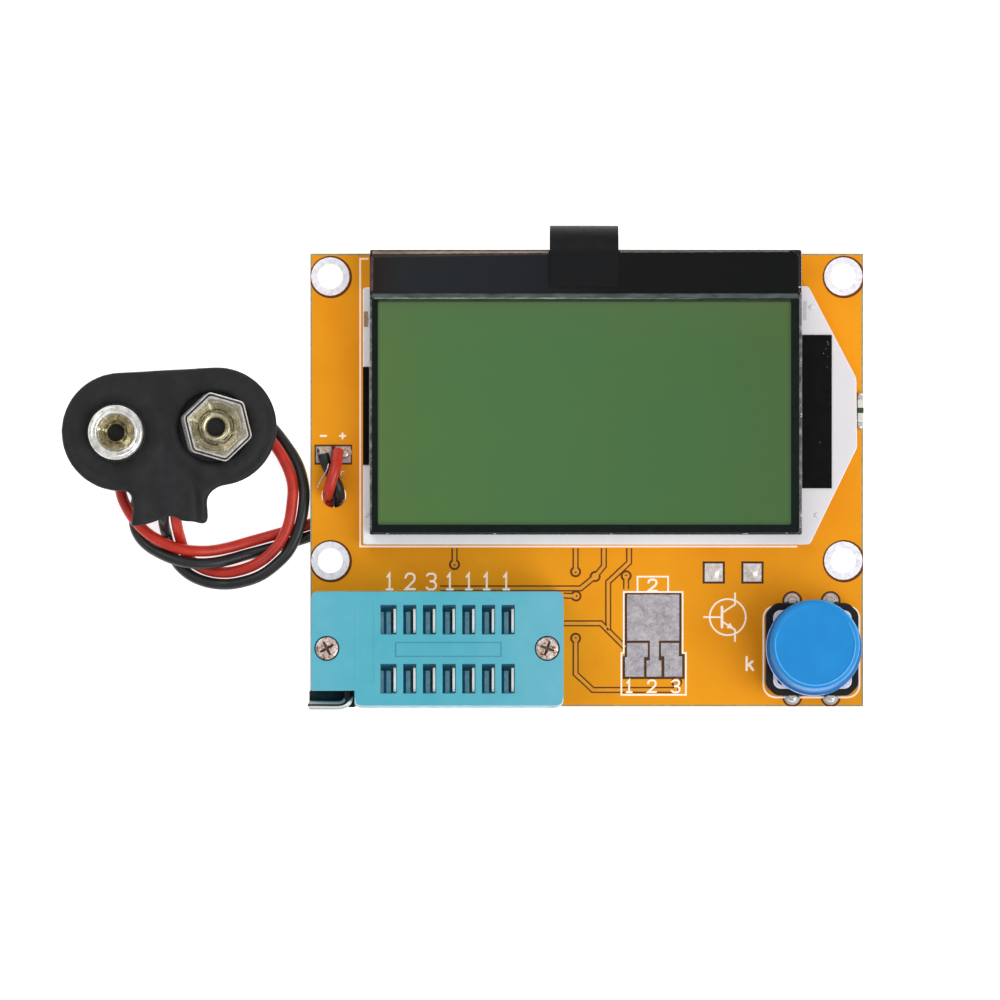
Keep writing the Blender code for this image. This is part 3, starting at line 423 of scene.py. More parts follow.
def green_polarizer():
    """The viewing area: olive to bluish green under a clear gloss, with a fine pixel grid."""
    look = Look("green_polarizer")
    colour = look.ramp(look.place("X", -27, 26.5), (0.0, (0.092, 0.176, 0.050)),
                       (0.14, (0.079, 0.178, 0.050)), (0.45, (0.070, 0.168, 0.053)),
                       (0.8, (0.064, 0.150, 0.044)), (1.0, (0.066, 0.136, 0.038)))
    up = look.place("Y", -6, 23.3)
    colour = look.mix(look.remap(up, source=(0.75, 1.0), target=(0.0, 0.35)), colour,
                      (0.098, 0.155, 0.058))
    colour = look.mix(look.place("Y", 22.1, 23.1, target=(0.0, 0.75)), colour,
                      (0.092, 0.128, 0.057))
    # the four rims darken outwards: axis, where the shade starts, where it is full
    for axis, start, end in (("Y", -5.2, -5.85), ("X", 25.95, 26.5), ("X", -26.85, -27.2),
                             ("Y", 22.85, 23.2)):
        colour = look.mix(look.place(axis, start, end, target=(0.0, 0.55)), colour,
                          (0.022, 0.034, 0.020))
    drift = look.noise(size_mm=14, detail=2, roughness=0.5)
    colour = look.mix(look.remap(drift, source=(0.35, 0.65), target=(0.0, 0.25)), colour,
                      (0.058, 0.160, 0.068))
    grid = look.node("TexBrick", {"offset": 0.0}, scale=1 / (0.43 * MM), brick_width=1.0,
                     row_height=1.0, mortar_size=0.06, color1=(1, 1, 1), color2=(1, 1, 1),
                     mortar=(0.86, 0.88, 0.86), vector=look.coords)
    look.shade(
        base_color=look.mix(factor=0.35, a=colour, b=grid.outputs["Color"], blend="MULTIPLY"),
        roughness=look.mottle(0.30, 0.40, size_mm=0.3, detail=2, roughness=0.5),
        specular_ior_level=0.17, coat_weight=0.14, coat_roughness=0.08)


def black_bar():
    """Gloss black film, bluish on the left and neutral on the right."""
    look = Look("black_bar")
    colour = look.ramp(look.place("X", -28, 28), (0.0, (0.020, 0.014, 0.013)),
                       (0.08, (0.0185, 0.0215, 0.0250)), (0.35, (0.0150, 0.0175, 0.0210)),
                       (0.6, (0.0070, 0.0072, 0.0075)), (1.0, (0.0056, 0.0060, 0.0062)))
    look.shade(base_color=colour, roughness=look.mottle(0.16, 0.28, size_mm=0.6),
               specular_ior_level=0.12)
    look.bump(look.noise(size_mm=5, detail=2, roughness=0.5), strength=0.06, depth_mm=0.08)


def black_flex():
    """Black polyimide film: paler where it stands free behind the glass."""
    look = Look("black_flex")
    up = look.place("Y", 29.4, 30.1)
    free = look.ramp(look.noise(size_mm=1.6, detail=4), (0.3, (0.0078, 0.0078, 0.0078)),
                     (0.7, (0.0112, 0.0112, 0.0112)))
    look.shade(base_color=look.mix(up, (0.0052, 0.0056, 0.0064), free),
               roughness=look.mottle(0.38, 0.52, size_mm=0.5), specular_ior_level=0.15)
    look.bump(look.noise(size_mm=0.14, detail=2), strength=0.15, depth_mm=0.02)


def leathercloth():
    """Black PVC leathercloth: fine pebble grain and a dull sheen."""
    look = Look("leathercloth")
    pebbles = look.node("TexVoronoi", {"feature": "DISTANCE_TO_EDGE"}, scale=1 / (0.38 * MM),
                        vector=look.coords)
    drift = look.noise(size_mm=2.6, detail=4)
    look.shade(base_color=look.ramp(drift, (0.3, (0.0125, 0.0130, 0.0135)),
                                    (0.55, (0.0185, 0.0190, 0.0205)), (0.8, (0.027, 0.0275, 0.030))),
               roughness=look.remap(drift, target=(0.46, 0.60)), specular_ior_level=0.22)
    look.bump(pebbles.outputs["Distance"], strength=0.35, depth_mm=0.03)
    look.bump(look.noise(size_mm=1.3), strength=0.30, depth_mm=0.10)


def led_body():
    look = plastic("led_body", rgb=(0.72, 0.72, 0.62), roughness=0.35, drift_mm=0.8, grain=0.2)
    look.shade(subsurface_weight=0.2, subsurface_radius=(1.0, 1.0, 1.0), subsurface_scale=0.0008)


# board
solder_mask()
plastic("orange_mask_over_copper", rgb=(0.83, 0.33, 0.016), roughness=0.34, spread=0.05,
        drift_mm=2.0, grain=0.1, specular=0.35)
plastic("mask_step_shadow", rgb=(0.15, 0.035, 0.003), roughness=0.5, spread=0.15, drift_mm=0.8,
        grain=0.1, specular=0.2)
plastic("bare_laminate_gap", rgb=(0.085, 0.035, 0.012), roughness=0.6, spread=0.2, drift_mm=0.8,
        grain=0.2, specular=0.2)
tinned_copper()
# the plated rings carry a painted glow
speckle("plated_ring_silver", (0.30, (0.66, 0.65, 0.70)), (0.46, (0.84, 0.82, 0.87)),
        (0.68, (0.97, 0.96, 0.98)), size_mm=0.6, roughness=0.36, metallic=0.2, glow=0.10,
        strength=0.2)
metal("solder_fillet", rgb=(0.80, 0.79, 0.78), roughness=0.22, patches=0.25)
silk_ink()
plastic("bare_laminate_margin", rgb=(0.36, 0.33, 0.19), roughness=0.6, spread=0.25, drift_mm=0.6,
        grain=0.4, grain_mm=0.1, specular=0.2)
speckle("bright_solder_pad", (0.30, (0.60, 0.50, 0.44)), (0.50, (0.80, 0.74, 0.70)),
        (0.68, (0.95, 0.92, 0.90)), size_mm=0.8, roughness=0.34, metallic=0.55)
# test socket
socket_nylon("socket_nylon", painted_rib_light=False)
socket_nylon("socket_nylon_body", painted_rib_light=True)
speckle("screw_head_plating", (0.36, (0.13, 0.075, 0.05)), (0.44, (0.46, 0.27, 0.17)),
        (0.50, (0.80, 0.60, 0.50)), (0.56, (0.55, 0.49, 0.53)), (0.64, (0.97, 0.92, 0.90)),
        size_mm=0.36, roughness=0.32, metallic=0.35)
# painted shade for the screws' cross recesses
speckle("screw_recess_painted_shade", (0.30, (0.085, 0.050, 0.034)), (0.70, (0.300, 0.200, 0.150)),
        size_mm=0.4, roughness=0.40, metallic=0.3)
contact_strip()
slot_wall()
polished_rod()
# painted highlight: a pale copy of the socket nylon for the front edge
plastic("socket_nylon_lit_edge", rgb=(0.56, 0.76, 0.83), roughness=0.35, grain_mm=0.1,
        spread=0.10, specular=0.4, tint=(0.66, 0.83, 0.88))
# painted shadow for the floor of the lever's notch
plastic("socket_notch_floor", rgb=(0.0045, 0.022, 0.029), roughness=0.6, spread=0.3,
        drift_mm=0.8, grain=0.2, specular=0.1)
# display
# painted highlight along the bar's rear edge, tan on the left
speckle("bar_cut_edge", (0.30, (0.17, 0.125, 0.100)), (0.50, (0.27, 0.205, 0.170)),
        (0.70, (0.40, 0.33, 0.28)), size_mm=1.2, roughness=0.5, stretch=(0.25, 1, 1))
speckle("bar_reddish_edge", (0.30, (0.022, 0.014, 0.011)), (0.70, (0.048, 0.031, 0.024)),
        size_mm=1.2, roughness=0.4, stretch=(0.3, 1, 1))
speckle("bar_side_edge", (0.30, (0.035, 0.020, 0.024)), (0.70, (0.115, 0.070, 0.085)),
        size_mm=0.8, roughness=0.4)
# the same painted highlight, grey on the right
speckle("bar_cut_edge_grey", (0.30, (0.055, 0.055, 0.050)), (0.70, (0.135, 0.135, 0.125)),
        size_mm=0.9, roughness=0.45, stretch=(0.35, 1, 1))
speckle("sealant_pale", (0.32, (0.075, 0.090, 0.070)), (0.46, (0.15, 0.18, 0.15)),
        (0.60, (0.24, 0.28, 0.24)), (0.75, (0.36, 0.40, 0.35)), size_mm=0.9, roughness=0.4,
        stretch=(0.35, 1, 1))
speckle("chipped_glass_edge", (0.40, (0.020, 0.026, 0.026)), (0.48, (0.20, 0.20, 0.23)),
        (0.56, (0.68, 0.64, 0.72)), (0.70, (0.92, 0.90, 0.95)), size_mm=0.34, roughness=0.35,
        stretch=(1, 1, 1))
speckle("ground_glass_band", (0.30, (0.030, 0.034, 0.033)), (0.45, (0.105, 0.105, 0.108)),
        (0.58, (0.215, 0.21, 0.215)), (0.72, (0.42, 0.41, 0.43)), size_mm=1.1, roughness=0.35,
        detail=5)
speckle("ground_glass_lilac", (0.30, (0.026, 0.028, 0.036)), (0.70, (0.050, 0.053, 0.068)),
        size_mm=1.1, roughness=0.35)
speckle("tan_resin_spot", (0.30, (0.36, 0.23, 0.14)), (0.70, (0.62, 0.46, 0.32)), size_mm=0.5,
        roughness=0.5)
speckle("grey_resin_spot", (0.30, (0.52, 0.51, 0.53)), (0.70, (0.68, 0.67, 0.70)), size_mm=0.5,
        roughness=0.5)
light_guide_acrylic()
display_glass()
green_polarizer()
plastic("black_border_print", rgb=(0.006, 0.011, 0.009), roughness=0.45, spread=0.25,
        grain=0.05, specular=0.08)
plastic("border_green_line", rgb=(0.030, 0.048, 0.023), roughness=0.45, spread=0.2, grain=0.05,
        specular=0.08)
plastic("seam_grey", rgb=(0.060, 0.078, 0.074), roughness=0.35, spread=0.55, drift_mm=0.9,
        grain=0.2, grain_mm=0.1, stretch=(0.3, 1, 1), specular=0.3)
black_bar()
black_flex()
plastic("black_tape", rgb=(0.0050, 0.0050, 0.0050), roughness=0.55, spread=0.25, drift_mm=1.2,
        grain=0.5, grain_mm=0.10, specular=0.06)
plastic("pale_specks", rgb=(0.11, 0.11, 0.11), roughness=0.6, spread=0.3, drift_mm=0.3, grain=0.1)
led_body()
plastic("led_window_green", rgb=(0.020, 0.055, 0.035), roughness=0.3, spread=0.3, drift_mm=0.4,
        grain=0.1)
# push button
plastic("black_plastic", rgb=(0.0085, 0.0090, 0.0100), roughness=0.48, spread=0.15, drift_mm=1.2,
        grain=0.25, grain_mm=0.08, specular=0.2)
plastic("blue_button", rgb=(0.012, 0.252, 0.650), roughness=0.40, spread=0.035, drift_mm=4.0,
        grain_mm=0.09, specular=0.2, tint=(0.014, 0.270, 0.680))
# painted highlight for the arcs on the cap
plastic("blue_button_edge", rgb=(0.085, 0.44, 0.93), roughness=0.30, spread=0.10, grain=0.06,
        tint=(0.15, 0.56, 1.0))
# painted shade for the step over the flange
plastic("blue_button_painted_shade", rgb=(0.010, 0.150, 0.430), roughness=0.42, drift_mm=2.0, grain=0.1,
        specular=0.3)
# painted highlight along the flange's edge
plastic("flange_pale_line", rgb=(0.46, 0.56, 0.93), roughness=0.32, spread=0.1, drift_mm=1.0,
        grain=0.05, specular=0.4, tint=(0.62, 0.70, 0.98))
speckle("cover_plate_steel", (0.30, (0.72, 0.70, 0.78)), (0.70, (0.93, 0.91, 0.97)), size_mm=1.2,
        roughness=0.30, metallic=0.55, stretch=(5, 1, 1), strength=0.1)
metal("tinned_lead", rgb=(0.80, 0.79, 0.78), roughness=0.28)
# parts under the board
plastic("chip_epoxy", rgb=(0.018, 0.018, 0.019), roughness=0.58, spread=0.2, drift_mm=0.8,
        grain=0.4, grain_mm=0.07, specular=0.35)
plastic("yellow_epoxy", rgb=(0.72, 0.42, 0.05), roughness=0.45, drift_mm=1.0, grain=0.25,
        grain_mm=0.08)
metal("polished_steel", rgb=(0.80, 0.79, 0.77), roughness=0.16, brushed=(8, 1, 1), patches=0.12)
# battery snap and leads
leathercloth()
# the nickel plate carries a painted glow
speckle("nickel_plate", (0.32, (0.46, 0.45, 0.42)), (0.48, (0.74, 0.73, 0.70)),
        (0.66, (0.95, 0.94, 0.92)), size_mm=0.9, roughness=0.22, metallic=0.6, glow=0.10,
        strength=0.12)
speckle("nickel_fold_shadow", (0.30, (0.060, 0.050, 0.042)), (0.70, (0.210, 0.185, 0.160)),
        size_mm=0.6, roughness=0.4, metallic=0.3)
metal("brass_inside", rgb=(0.78, 0.73, 0.54), roughness=0.26, brushed=(1, 1, 3),
      dark=(0.36, 0.30, 0.16))
metal("plated_spring_leaf", rgb=(0.86, 0.83, 0.73), roughness=0.24, brushed=(1, 1, 3),
      dark=(0.46, 0.41, 0.29))
plastic("fibre_board", rgb=(0.15, 0.085, 0.04), roughness=0.8, spread=0.3, drift_mm=0.5,
        grain=0.5, grain_mm=0.1, stretch=(1, 5, 1))
insulation("red_insulation", rgb=(0.53, 0.022, 0.011), tint=(0.63, 0.034, 0.016))
insulation("black_insulation", rgb=(0.010, 0.011, 0.0115), tint=(0.018, 0.0195, 0.020))


# =====================================================================  outlines
def on_circle(x, y, radius, degrees):
    turn = math.radians(degrees)
    return x + radius * math.cos(turn), y + radius * math.sin(turn)


def circle(x, y, radius, count):
    turns = [2 * math.pi * i / count for i in range(count)]
    return [(x + radius * math.cos(turn), y + radius * math.sin(turn)) for turn in turns]


def arc(x, y, radius, start, end, count):
    """Points on part of a circle, in degrees; count is its number of steps."""
    return [on_circle(x, y, radius, start + (end - start) * i / count) for i in range(count + 1)]


def rectangle(left, right, front, back):
    return [(left, front), (right, front), (right, back), (left, back)]


def rounded(left, right, front, back, radius, count=5):
    corners = ((right - radius, back - radius, 0), (left + radius, back - radius, 90),
               (left + radius, front + radius, 180), (right - radius, front + radius, 270))
    return [point for x, y, start in corners
            for point in arc(x, y, radius, start, start + 90, count)]


def smooth_path(points, step):
    """A Catmull-Rom curve through the points, sampled about every step."""
    knots = [Vector(point) for point in points]
    knots = [2 * knots[0] - knots[1]] + knots + [2 * knots[-1] - knots[-2]]
    path = []
    for i in range(1, len(knots) - 2):
        before, start, end, after = knots[i - 1:i + 3]
        count = max(1, round((end - start).length / step))
        for k in range(count):
            t = k / count
            path.append(0.5 * ((2 * start) + (end - before) * t
                               + (2 * before - 5 * start + 4 * end - after) * t * t
                               + (3 * start - before - 3 * end + after) * t * t * t))
    path.append(knots[-2])
    return path


# =====================================================================  solids, added to a bmesh
def loop(mesh, points, z):
    return [mesh.verts.new((x, y, z)) for x, y in points]


def prism(mesh, points, bottom, top):
    lower, upper = loop(mesh, points, bottom), loop(mesh, points, top)
    mesh.faces.new(lower[::-1])
    mesh.faces.new(upper)
    for i in range(len(points)):
        j = (i + 1) % len(points)
        mesh.faces.new((lower[i], lower[j], upper[j], upper[i]))
    return mesh


def block(mesh, left, right, front, back, bottom, top):
    return prism(mesh, rectangle(left, right, front, back), bottom, top)


def skin(mesh, rings, cap=True):
    """Quads between successive loops of verts, with the first and last filled."""
    count = len(rings[0])
    for first, second in zip(rings, rings[1:]):
        for i in range(count):
            j = (i + 1) % count
            mesh.faces.new((first[i], first[j], second[j], second[i]))
    if cap:
        mesh.faces.new(rings[0][::-1])
        mesh.faces.new(rings[-1])
    return mesh


def ring_solid(mesh, *levels):
    """A ring with no ends: its section runs through (outline, z) levels and closes on itself."""
    rings = [loop(mesh, outline, z) for outline, z in levels]
    return skin(mesh, rings + [rings[0]], cap=False)


def lathe(mesh, x, y, profile, count=48, lean=None):
    """A closed profile of (radius, z) turned about a vertical line.

    lean(z) shifts each circle in y.
    """
    rings = []
    for radius, z in profile:
        ring_y = y + lean(z) if lean else y
        points = [(x, ring_y)] if radius < 1e-6 else circle(x, ring_y, radius, count)
        rings.append(loop(mesh, points, z))
    for first, second in zip(rings, rings[1:] + rings[:1]):
        if len(first) == 1 and len(second) == 1:
            continue
        for i in range(count):
            j = (i + 1) % count
            if len(first) == 1:
                mesh.faces.new((first[0], second[j], second[i]))
            elif len(second) == 1:
                mesh.faces.new((first[i], first[j], second[0]))
            else:
                mesh.faces.new((first[i], first[j], second[j], second[i]))
    return mesh


def washer(mesh, x, y, inner, outer, bottom, top, count):
    """A flat ring, or a disc where the inner radius is 0."""
    profile = [(inner, bottom), (outer, bottom), (outer, top), (inner, top)]
    return lathe(mesh, x, y, profile, count)


def tube(mesh, path, radii, count):
    path = [Vector(point) for point in path]
    steps = [(end - start).normalized() for start, end in zip(path, path[1:])]
    side = steps[0].orthogonal().normalized()
    rings = []
    for i, point in enumerate(path):
        along = (steps[max(i - 1, 0)] + steps[min(i, len(steps) - 1)]).normalized()
        side = (side - along * side.dot(along)).normalized()
        up = along.cross(side)
        rings.append([mesh.verts.new(point + radii[i] * (math.cos(a) * side + math.sin(a) * up))
                      for a in (2 * math.pi * k / count for k in range(count))])
    return skin(mesh, rings)


def ribbon(mesh, path, width, bottom, top, closed=False):
    """A flat strip along a 2-D path with mitred corners, as a thin closed solid."""
    path = [Vector(point) for point in path]
    count = len(path)
    left, right = [], []
    for i, point in enumerate(path):
        if closed:
            arriving = (point - path[i - 1]).normalized()
            leaving = (path[(i + 1) % count] - point).normalized()
        else:
            arriving = (point - path[i - 1] if i else path[1] - point).normalized()
            leaving = (path[i + 1] - point).normalized() if i < count - 1 else arriving
        along = arriving + leaving
        along = along.normalized() if along.length > 1e-6 else leaving
        side = Vector((-along.y, along.x))
        mitre = 1 / max(0.35, side.dot(Vector((-leaving.y, leaving.x))))
        left.append(point + side * width / 2 * mitre)
        right.append(point - side * width / 2 * mitre)
    left_low, right_low = loop(mesh, left, bottom), loop(mesh, right, bottom)
    left_top, right_top = loop(mesh, left, top), loop(mesh, right, top)
    for i in range(count if closed else count - 1):
        j = (i + 1) % count
        mesh.faces.new((left_top[i], right_top[i], right_top[j], left_top[j]))
        mesh.faces.new((left_low[i], left_low[j], right_low[j], right_low[i]))
        mesh.faces.new((left_low[i], left_top[i], left_top[j], left_low[j]))
        mesh.faces.new((right_low[i], right_low[j], right_top[j], right_top[i]))
    if not closed:
        mesh.faces.new((left_low[0], right_low[0], right_top[0], left_top[0]))
        mesh.faces.new((left_low[-1], left_top[-1], right_top[-1], right_low[-1]))
    return mesh


# a cell's six sides: the step to its neighbour, then the side's corners
CELL_SIDES = (((1, 0, 0), ((1, 0, 0), (1, 1, 0), (1, 1, 1), (1, 0, 1))),
              ((-1, 0, 0), ((0, 0, 0), (0, 0, 1), (0, 1, 1), (0, 1, 0))),
              ((0, 1, 0), ((0, 1, 0), (0, 1, 1), (1, 1, 1), (1, 1, 0))),
              ((0, -1, 0), ((0, 0, 0), (1, 0, 0), (1, 0, 1), (0, 0, 1))),
              ((0, 0, 1), ((0, 0, 1), (1, 0, 1), (1, 1, 1), (0, 1, 1))),
              ((0, 0, -1), ((0, 0, 0), (0, 1, 0), (1, 1, 0), (1, 0, 0))))


def cells(mesh, xs, ys, zs, filled=lambda x, y, z: True):
    """A solid made of the cells between successive coordinates whose middle is filled()."""
    solid = {}
    for i in range(len(xs) - 1):
        for j in range(len(ys) - 1):
            for k in range(len(zs) - 1):
                solid[i, j, k] = filled((xs[i] + xs[i + 1]) / 2, (ys[j] + ys[j + 1]) / 2,
                                        (zs[k] + zs[k + 1]) / 2)
    verts = {}

    def vert(i, j, k):
        if (i, j, k) not in verts:
            verts[i, j, k] = mesh.verts.new((xs[i], ys[j], zs[k]))
        return verts[i, j, k]

    for (i, j, k), full in solid.items():
        if not full:
            continue
        for (di, dj, dk), corners in CELL_SIDES:
            if not solid.get((i + di, j + dj, k + dk), False):
                mesh.faces.new([vert(i + a, j + b, k + c) for a, b, c in corners])
    return mesh


def grid_lines(*values):
    return sorted(set(round(value, 4) for value in values))


def inside(area, x, y):
    """Whether a place lies in (left, right, front, back, ...)."""
    return area[0] < x < area[1] and area[2] < y < area[3]


def round_corners(mesh, radius):
    upright = [e for e in mesh.edges if abs(e.verts[0].co.z - e.verts[1].co.z) > 1]
    bmesh.ops.bevel(mesh, geom=upright, offset=radius, segments=3, profile=0.5, affect="EDGES")


# =====================================================================  objects
def to_object(name, mesh):
    """Turns a bmesh in board mm into an object in the world."""
    mesh.transform(TO_WORLD)
    data = bpy.data.meshes.new(name)
    mesh.to_mesh(data)
    mesh.free()
    obj = bpy.data.objects.new(name, data)
    bpy.context.scene.collection.objects.link(obj)
    return obj


def add_bevel(obj, width, segments, angle=30, harden=False):
    mod = obj.modifiers.new("Bevel", "BEVEL")
    mod.width = width * MM
    mod.segments = segments
    mod.limit_method = "ANGLE"
    mod.angle_limit = math.radians(angle)
    mod.harden_normals = harden


def piece(name, mesh, materials, body="root", replaces=None, angle=35, bevel=None,
          segments=2):
    """A visible object that rides on a body; angle is where its shading turns sharp."""
    bmesh.ops.recalc_face_normals(mesh, faces=mesh.faces)
    obj = to_object(name, mesh)
    for material in [materials] if isinstance(materials, str) else materials:
        obj.data.materials.append(MATERIALS[material])
    obj.data.shade_smooth()
    obj.data.set_sharp_from_angle(angle=math.radians(angle))
    if bevel:
        add_bevel(obj, bevel, segments, harden=True)
    if body:
        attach(obj, body)
    if replaces:
        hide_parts(replaces)
    return obj


def apply_modifiers(obj):
    graph = bpy.context.evaluated_depsgraph_get()
    bpy.context.view_layer.update()
    applied = bpy.data.meshes.new_from_object(obj.evaluated_get(graph), depsgraph=graph)
    obj.modifiers.clear()
    old = obj.data
    obj.data = applied
    if not applied.materials:  # a modifier may drop the slots
        for material in old.materials:
            applied.materials.append(material)


def cut(obj, mesh, use_self=False):
    """Takes a bmesh in board mm out of an object."""
    bmesh.ops.recalc_face_normals(mesh, faces=mesh.faces)
    tool = to_object("tool", mesh)
    mod = obj.modifiers.new("Cut", "BOOLEAN")
    mod.operation = "DIFFERENCE"
    mod.solver = "EXACT"
    mod.object = tool
    mod.use_self = use_self
    apply_modifiers(obj)
    bpy.data.objects.remove(tool)


def repaint(node, material, bevel=None, segments=2):
    """A CAD node that stays: its finish, and softened edges."""
    obj = NODES[node]
    obj.data.materials.clear()
    obj.data.materials.append(MATERIALS[material])
    if bevel:
        add_bevel(obj, bevel, segments, angle=40)


# =====================================================================  circuit board
def on_top(near, far):
    """Lower and upper z of a layer that lies from near to far off the board's top."""
    return TOP + near, TOP + far


def underneath(near, far):
    return LOW - far, LOW - near


def keep_on_board(mesh):
    """Pulls a print in from the board's edge."""
    for vert in mesh.verts:
        vert.co.x = min(max(vert.co.x, board.left + 0.015), board.right - 0.015)
        vert.co.y = min(max(vert.co.y, board.front + 0.015), board.back - 0.015)
    return mesh


def lay_tracks(prefix, layer, paths, vias, widths, via_radii, via_sides):
    """Copper under mask: a dark stepped edge below a narrower lit crown, and ringed vias.

    widths are of edge and crown; via_radii of edge, crown and mouth.
    """
    edges, crowns, mouths = bmesh.new(), bmesh.new(), bmesh.new()
    edge_far, crown_far, via_edge_far, via_crown_far = TRACK_HEIGHTS[prefix]
    for path in paths:
        ribbon(edges, path, widths[0], *layer(0.002, edge_far))
        ribbon(crowns, path, widths[1], *layer(0.004, crown_far))
    edge, crown, mouth = via_radii
    for x, y in vias:
        washer(edges, x, y, 0, edge, *layer(0.003, via_edge_far), via_sides)
        washer(crowns, x, y, mouth, crown, *layer(0.005, via_crown_far), via_sides)
        washer(mouths, x, y, 0, mouth, *layer(0.010, 0.034), 20)
    piece(prefix + "track_edges", edges, "mask_step_shadow")
    piece(prefix + "track_crowns", crowns, "orange_mask_over_copper", bevel=0.02,
          segments=1)
    piece(prefix + "via_mouths", mouths, "bare_laminate_gap")


# how far edge, crown, via edge and via crown stand off the board
TRACK_HEIGHTS = {"": (0.022, 0.046, 0.025, 0.052), "under_": (0.018, 0.042, 0.021, 0.048)}

repaint("circuit_board", "orange_solder_mask")
board = cad_box("circuit_board")
for tag in ("rear_left", "rear_right", "front_left", "front_right"):
    repaint("mounting_hole_plating_" + tag, "plated_ring_silver")
    x, y = cad_box("mounting_hole_plating_" + tag).middle
    for side, layer in (("top", on_top), ("under", underneath)):
        outline = washer(bmesh.new(), x + 0.07, y - 0.07, 2.3, 2.76, *layer(0.004, 0.016), 64)
        piece(f"ring_outline_{tag}_{side}", keep_on_board(outline), "mask_step_shadow")

for side, layer in (("top", on_top), ("under", underneath)):
    outer, inner = (rectangle(board.left + inset, board.right - inset, board.front + inset,
                              board.back - inset) for inset in (0.01, 0.24))
    bottom, top = layer(0.002, 0.010)
    margin = ring_solid(bmesh.new(), (outer, bottom), (outer, top), (inner, top), (inner, bottom))
    piece(f"board_margin_{side}", margin, "bare_laminate_margin")

# (x, y) points of each track, then the vias
TRACKS = [
    [(-17.22, -11.0), (-17.22, -8.9)],
    [(-1.46, -11.94), (-1.46, -8.9)],
    [(-19.1, -14.11), (-0.81, -14.11), (1.09, -12.56), (2.22, -11.2), (2.22, -8.9)],
    [(-3.02, -15.05), (-1.40, -15.10)],
    [(-2.96, -18.66), (1.83, -18.66), (4.98, -21.80)],
    [(2.79, -19.56), (2.79, -13.28), (5.51, -10.74), (5.51, -8.9)],
    [(5.12, -12.47), (5.12, -14.18)],
    [(-1.45, -20.60), (-1.45, -25.23), (0.79, -27.33), (11.55, -27.33), (11.70, -26.3)],
]
VIAS = [(-17.22, -11.0), (-1.46, -11.94), (1.09, -12.56), (-1.40, -15.10), (5.12, -12.47),
        (-1.45, -20.60), (11.70, -26.29)]
lay_tracks("", on_top, TRACKS, VIAS, widths=(0.80, 0.44), via_radii=(0.72, 0.46, 0.17),
           via_sides=32)

# tinned test pads with the bare gap round them
TEST_PAD_GAP = [(4.93, -20.75), (4.93, -14.60), (12.35, -14.60), (12.35, -22.65), (12.74, -22.65),
                (12.74, -25.92), (4.66, -25.92), (4.66, -22.95), (4.93, -22.95)]
piece("test_pad_gap", prism(bmesh.new(), TEST_PAD_GAP, *on_top(0.003, 0.012)),
      "bare_laminate_gap")
for number in (1, 2, 3):
    repaint(f"smd_test_pad_{number}", "tinned_copper", bevel=0.03, segments=1)

# two square pads with filled holes
SQUARE_PADS = ((16.53, -12.04), (21.57, -12.04))
PAD_HALF, PAD_GAP_HALF, PAD_STEPS = 1.17, 1.45, 8


def pad_height(x, y):
    """A slight dome, with the filled hole standing up in its middle."""
    away = math.hypot(x, y)
    return 0.05 + 0.05 * max(0.0, 1 - away / 1.1) + (0.10 if away < 0.45 else 0)


for number, (pad_x, pad_y) in enumerate(SQUARE_PADS, 1):
    gap = block(bmesh.new(), pad_x - PAD_GAP_HALF, pad_x + PAD_GAP_HALF, pad_y - PAD_GAP_HALF,
                pad_y + PAD_GAP_HALF, *on_top(0.003, 0.012))
    piece(f"square_pad_gap_{number}", gap, "bare_laminate_gap")
    mesh = bmesh.new()
    last = PAD_STEPS
    offsets = [PAD_HALF * (2 * i / last - 1) for i in range(last + 1)]
    top = [[mesh.verts.new((pad_x + x, pad_y + y, TOP + 0.02 + pad_height(x, y)))
            for y in offsets] for x in offsets]
    low = [[mesh.verts.new((vert.co.x, vert.co.y, TOP + 0.008)) for vert in row] for row in top]
    for i in range(last):
        for j in range(last):
            mesh.faces.new((top[i][j], top[i + 1][j], top[i + 1][j + 1], top[i][j + 1]))
            mesh.faces.new((low[i][j], low[i][j + 1], low[i + 1][j + 1], low[i + 1][j]))
    for i in range(last):
        mesh.faces.new((low[i][0], low[i + 1][0], top[i + 1][0], top[i][0]))
        mesh.faces.new((low[i][last], top[i][last], top[i + 1][last], low[i + 1][last]))
        mesh.faces.new((low[0][i], top[0][i], top[0][i + 1], low[0][i + 1]))
        mesh.faces.new((low[last][i], low[last][i + 1], top[last][i + 1], top[last][i]))
    piece(f"square_pad_{number}", mesh, "bright_solder_pad", angle=60)

# =====================================================================  silkscreen
# each character's strokes, in fractions of its width and height
STROKES = {
    "1": [[(0.22, 0.80), (0.50, 1.0), (0.50, 0.0)], [(0.12, 0.0), (0.88, 0.0)]],
    "2": [[(0.06, 0.74), (0.12, 0.90), (0.30, 1.0), (0.68, 1.0), (0.88, 0.90), (0.94, 0.72),
           (0.84, 0.52), (0.06, 0.02), (0.96, 0.02)]],
    "3": [[(0.08, 0.88), (0.28, 1.0), (0.68, 1.0), (0.90, 0.88), (0.92, 0.70), (0.74, 0.54),
           (0.40, 0.52)],
          [(0.40, 0.52), (0.78, 0.49), (0.96, 0.32), (0.92, 0.12), (0.70, 0.0), (0.28, 0.0),
           (0.05, 0.12)]],
    "k": [[(0.1, 0.0), (0.1, 1.0)], [(0.12, 0.30), (0.78, 0.66)], [(0.36, 0.44), (0.86, 0.0)]],
    "+": [[(0.5, 0.15), (0.5, 0.85)], [(0.15, 0.5), (0.85, 0.5)]],
    "-": [[(0.15, 0.5), (0.85, 0.5)]],
}
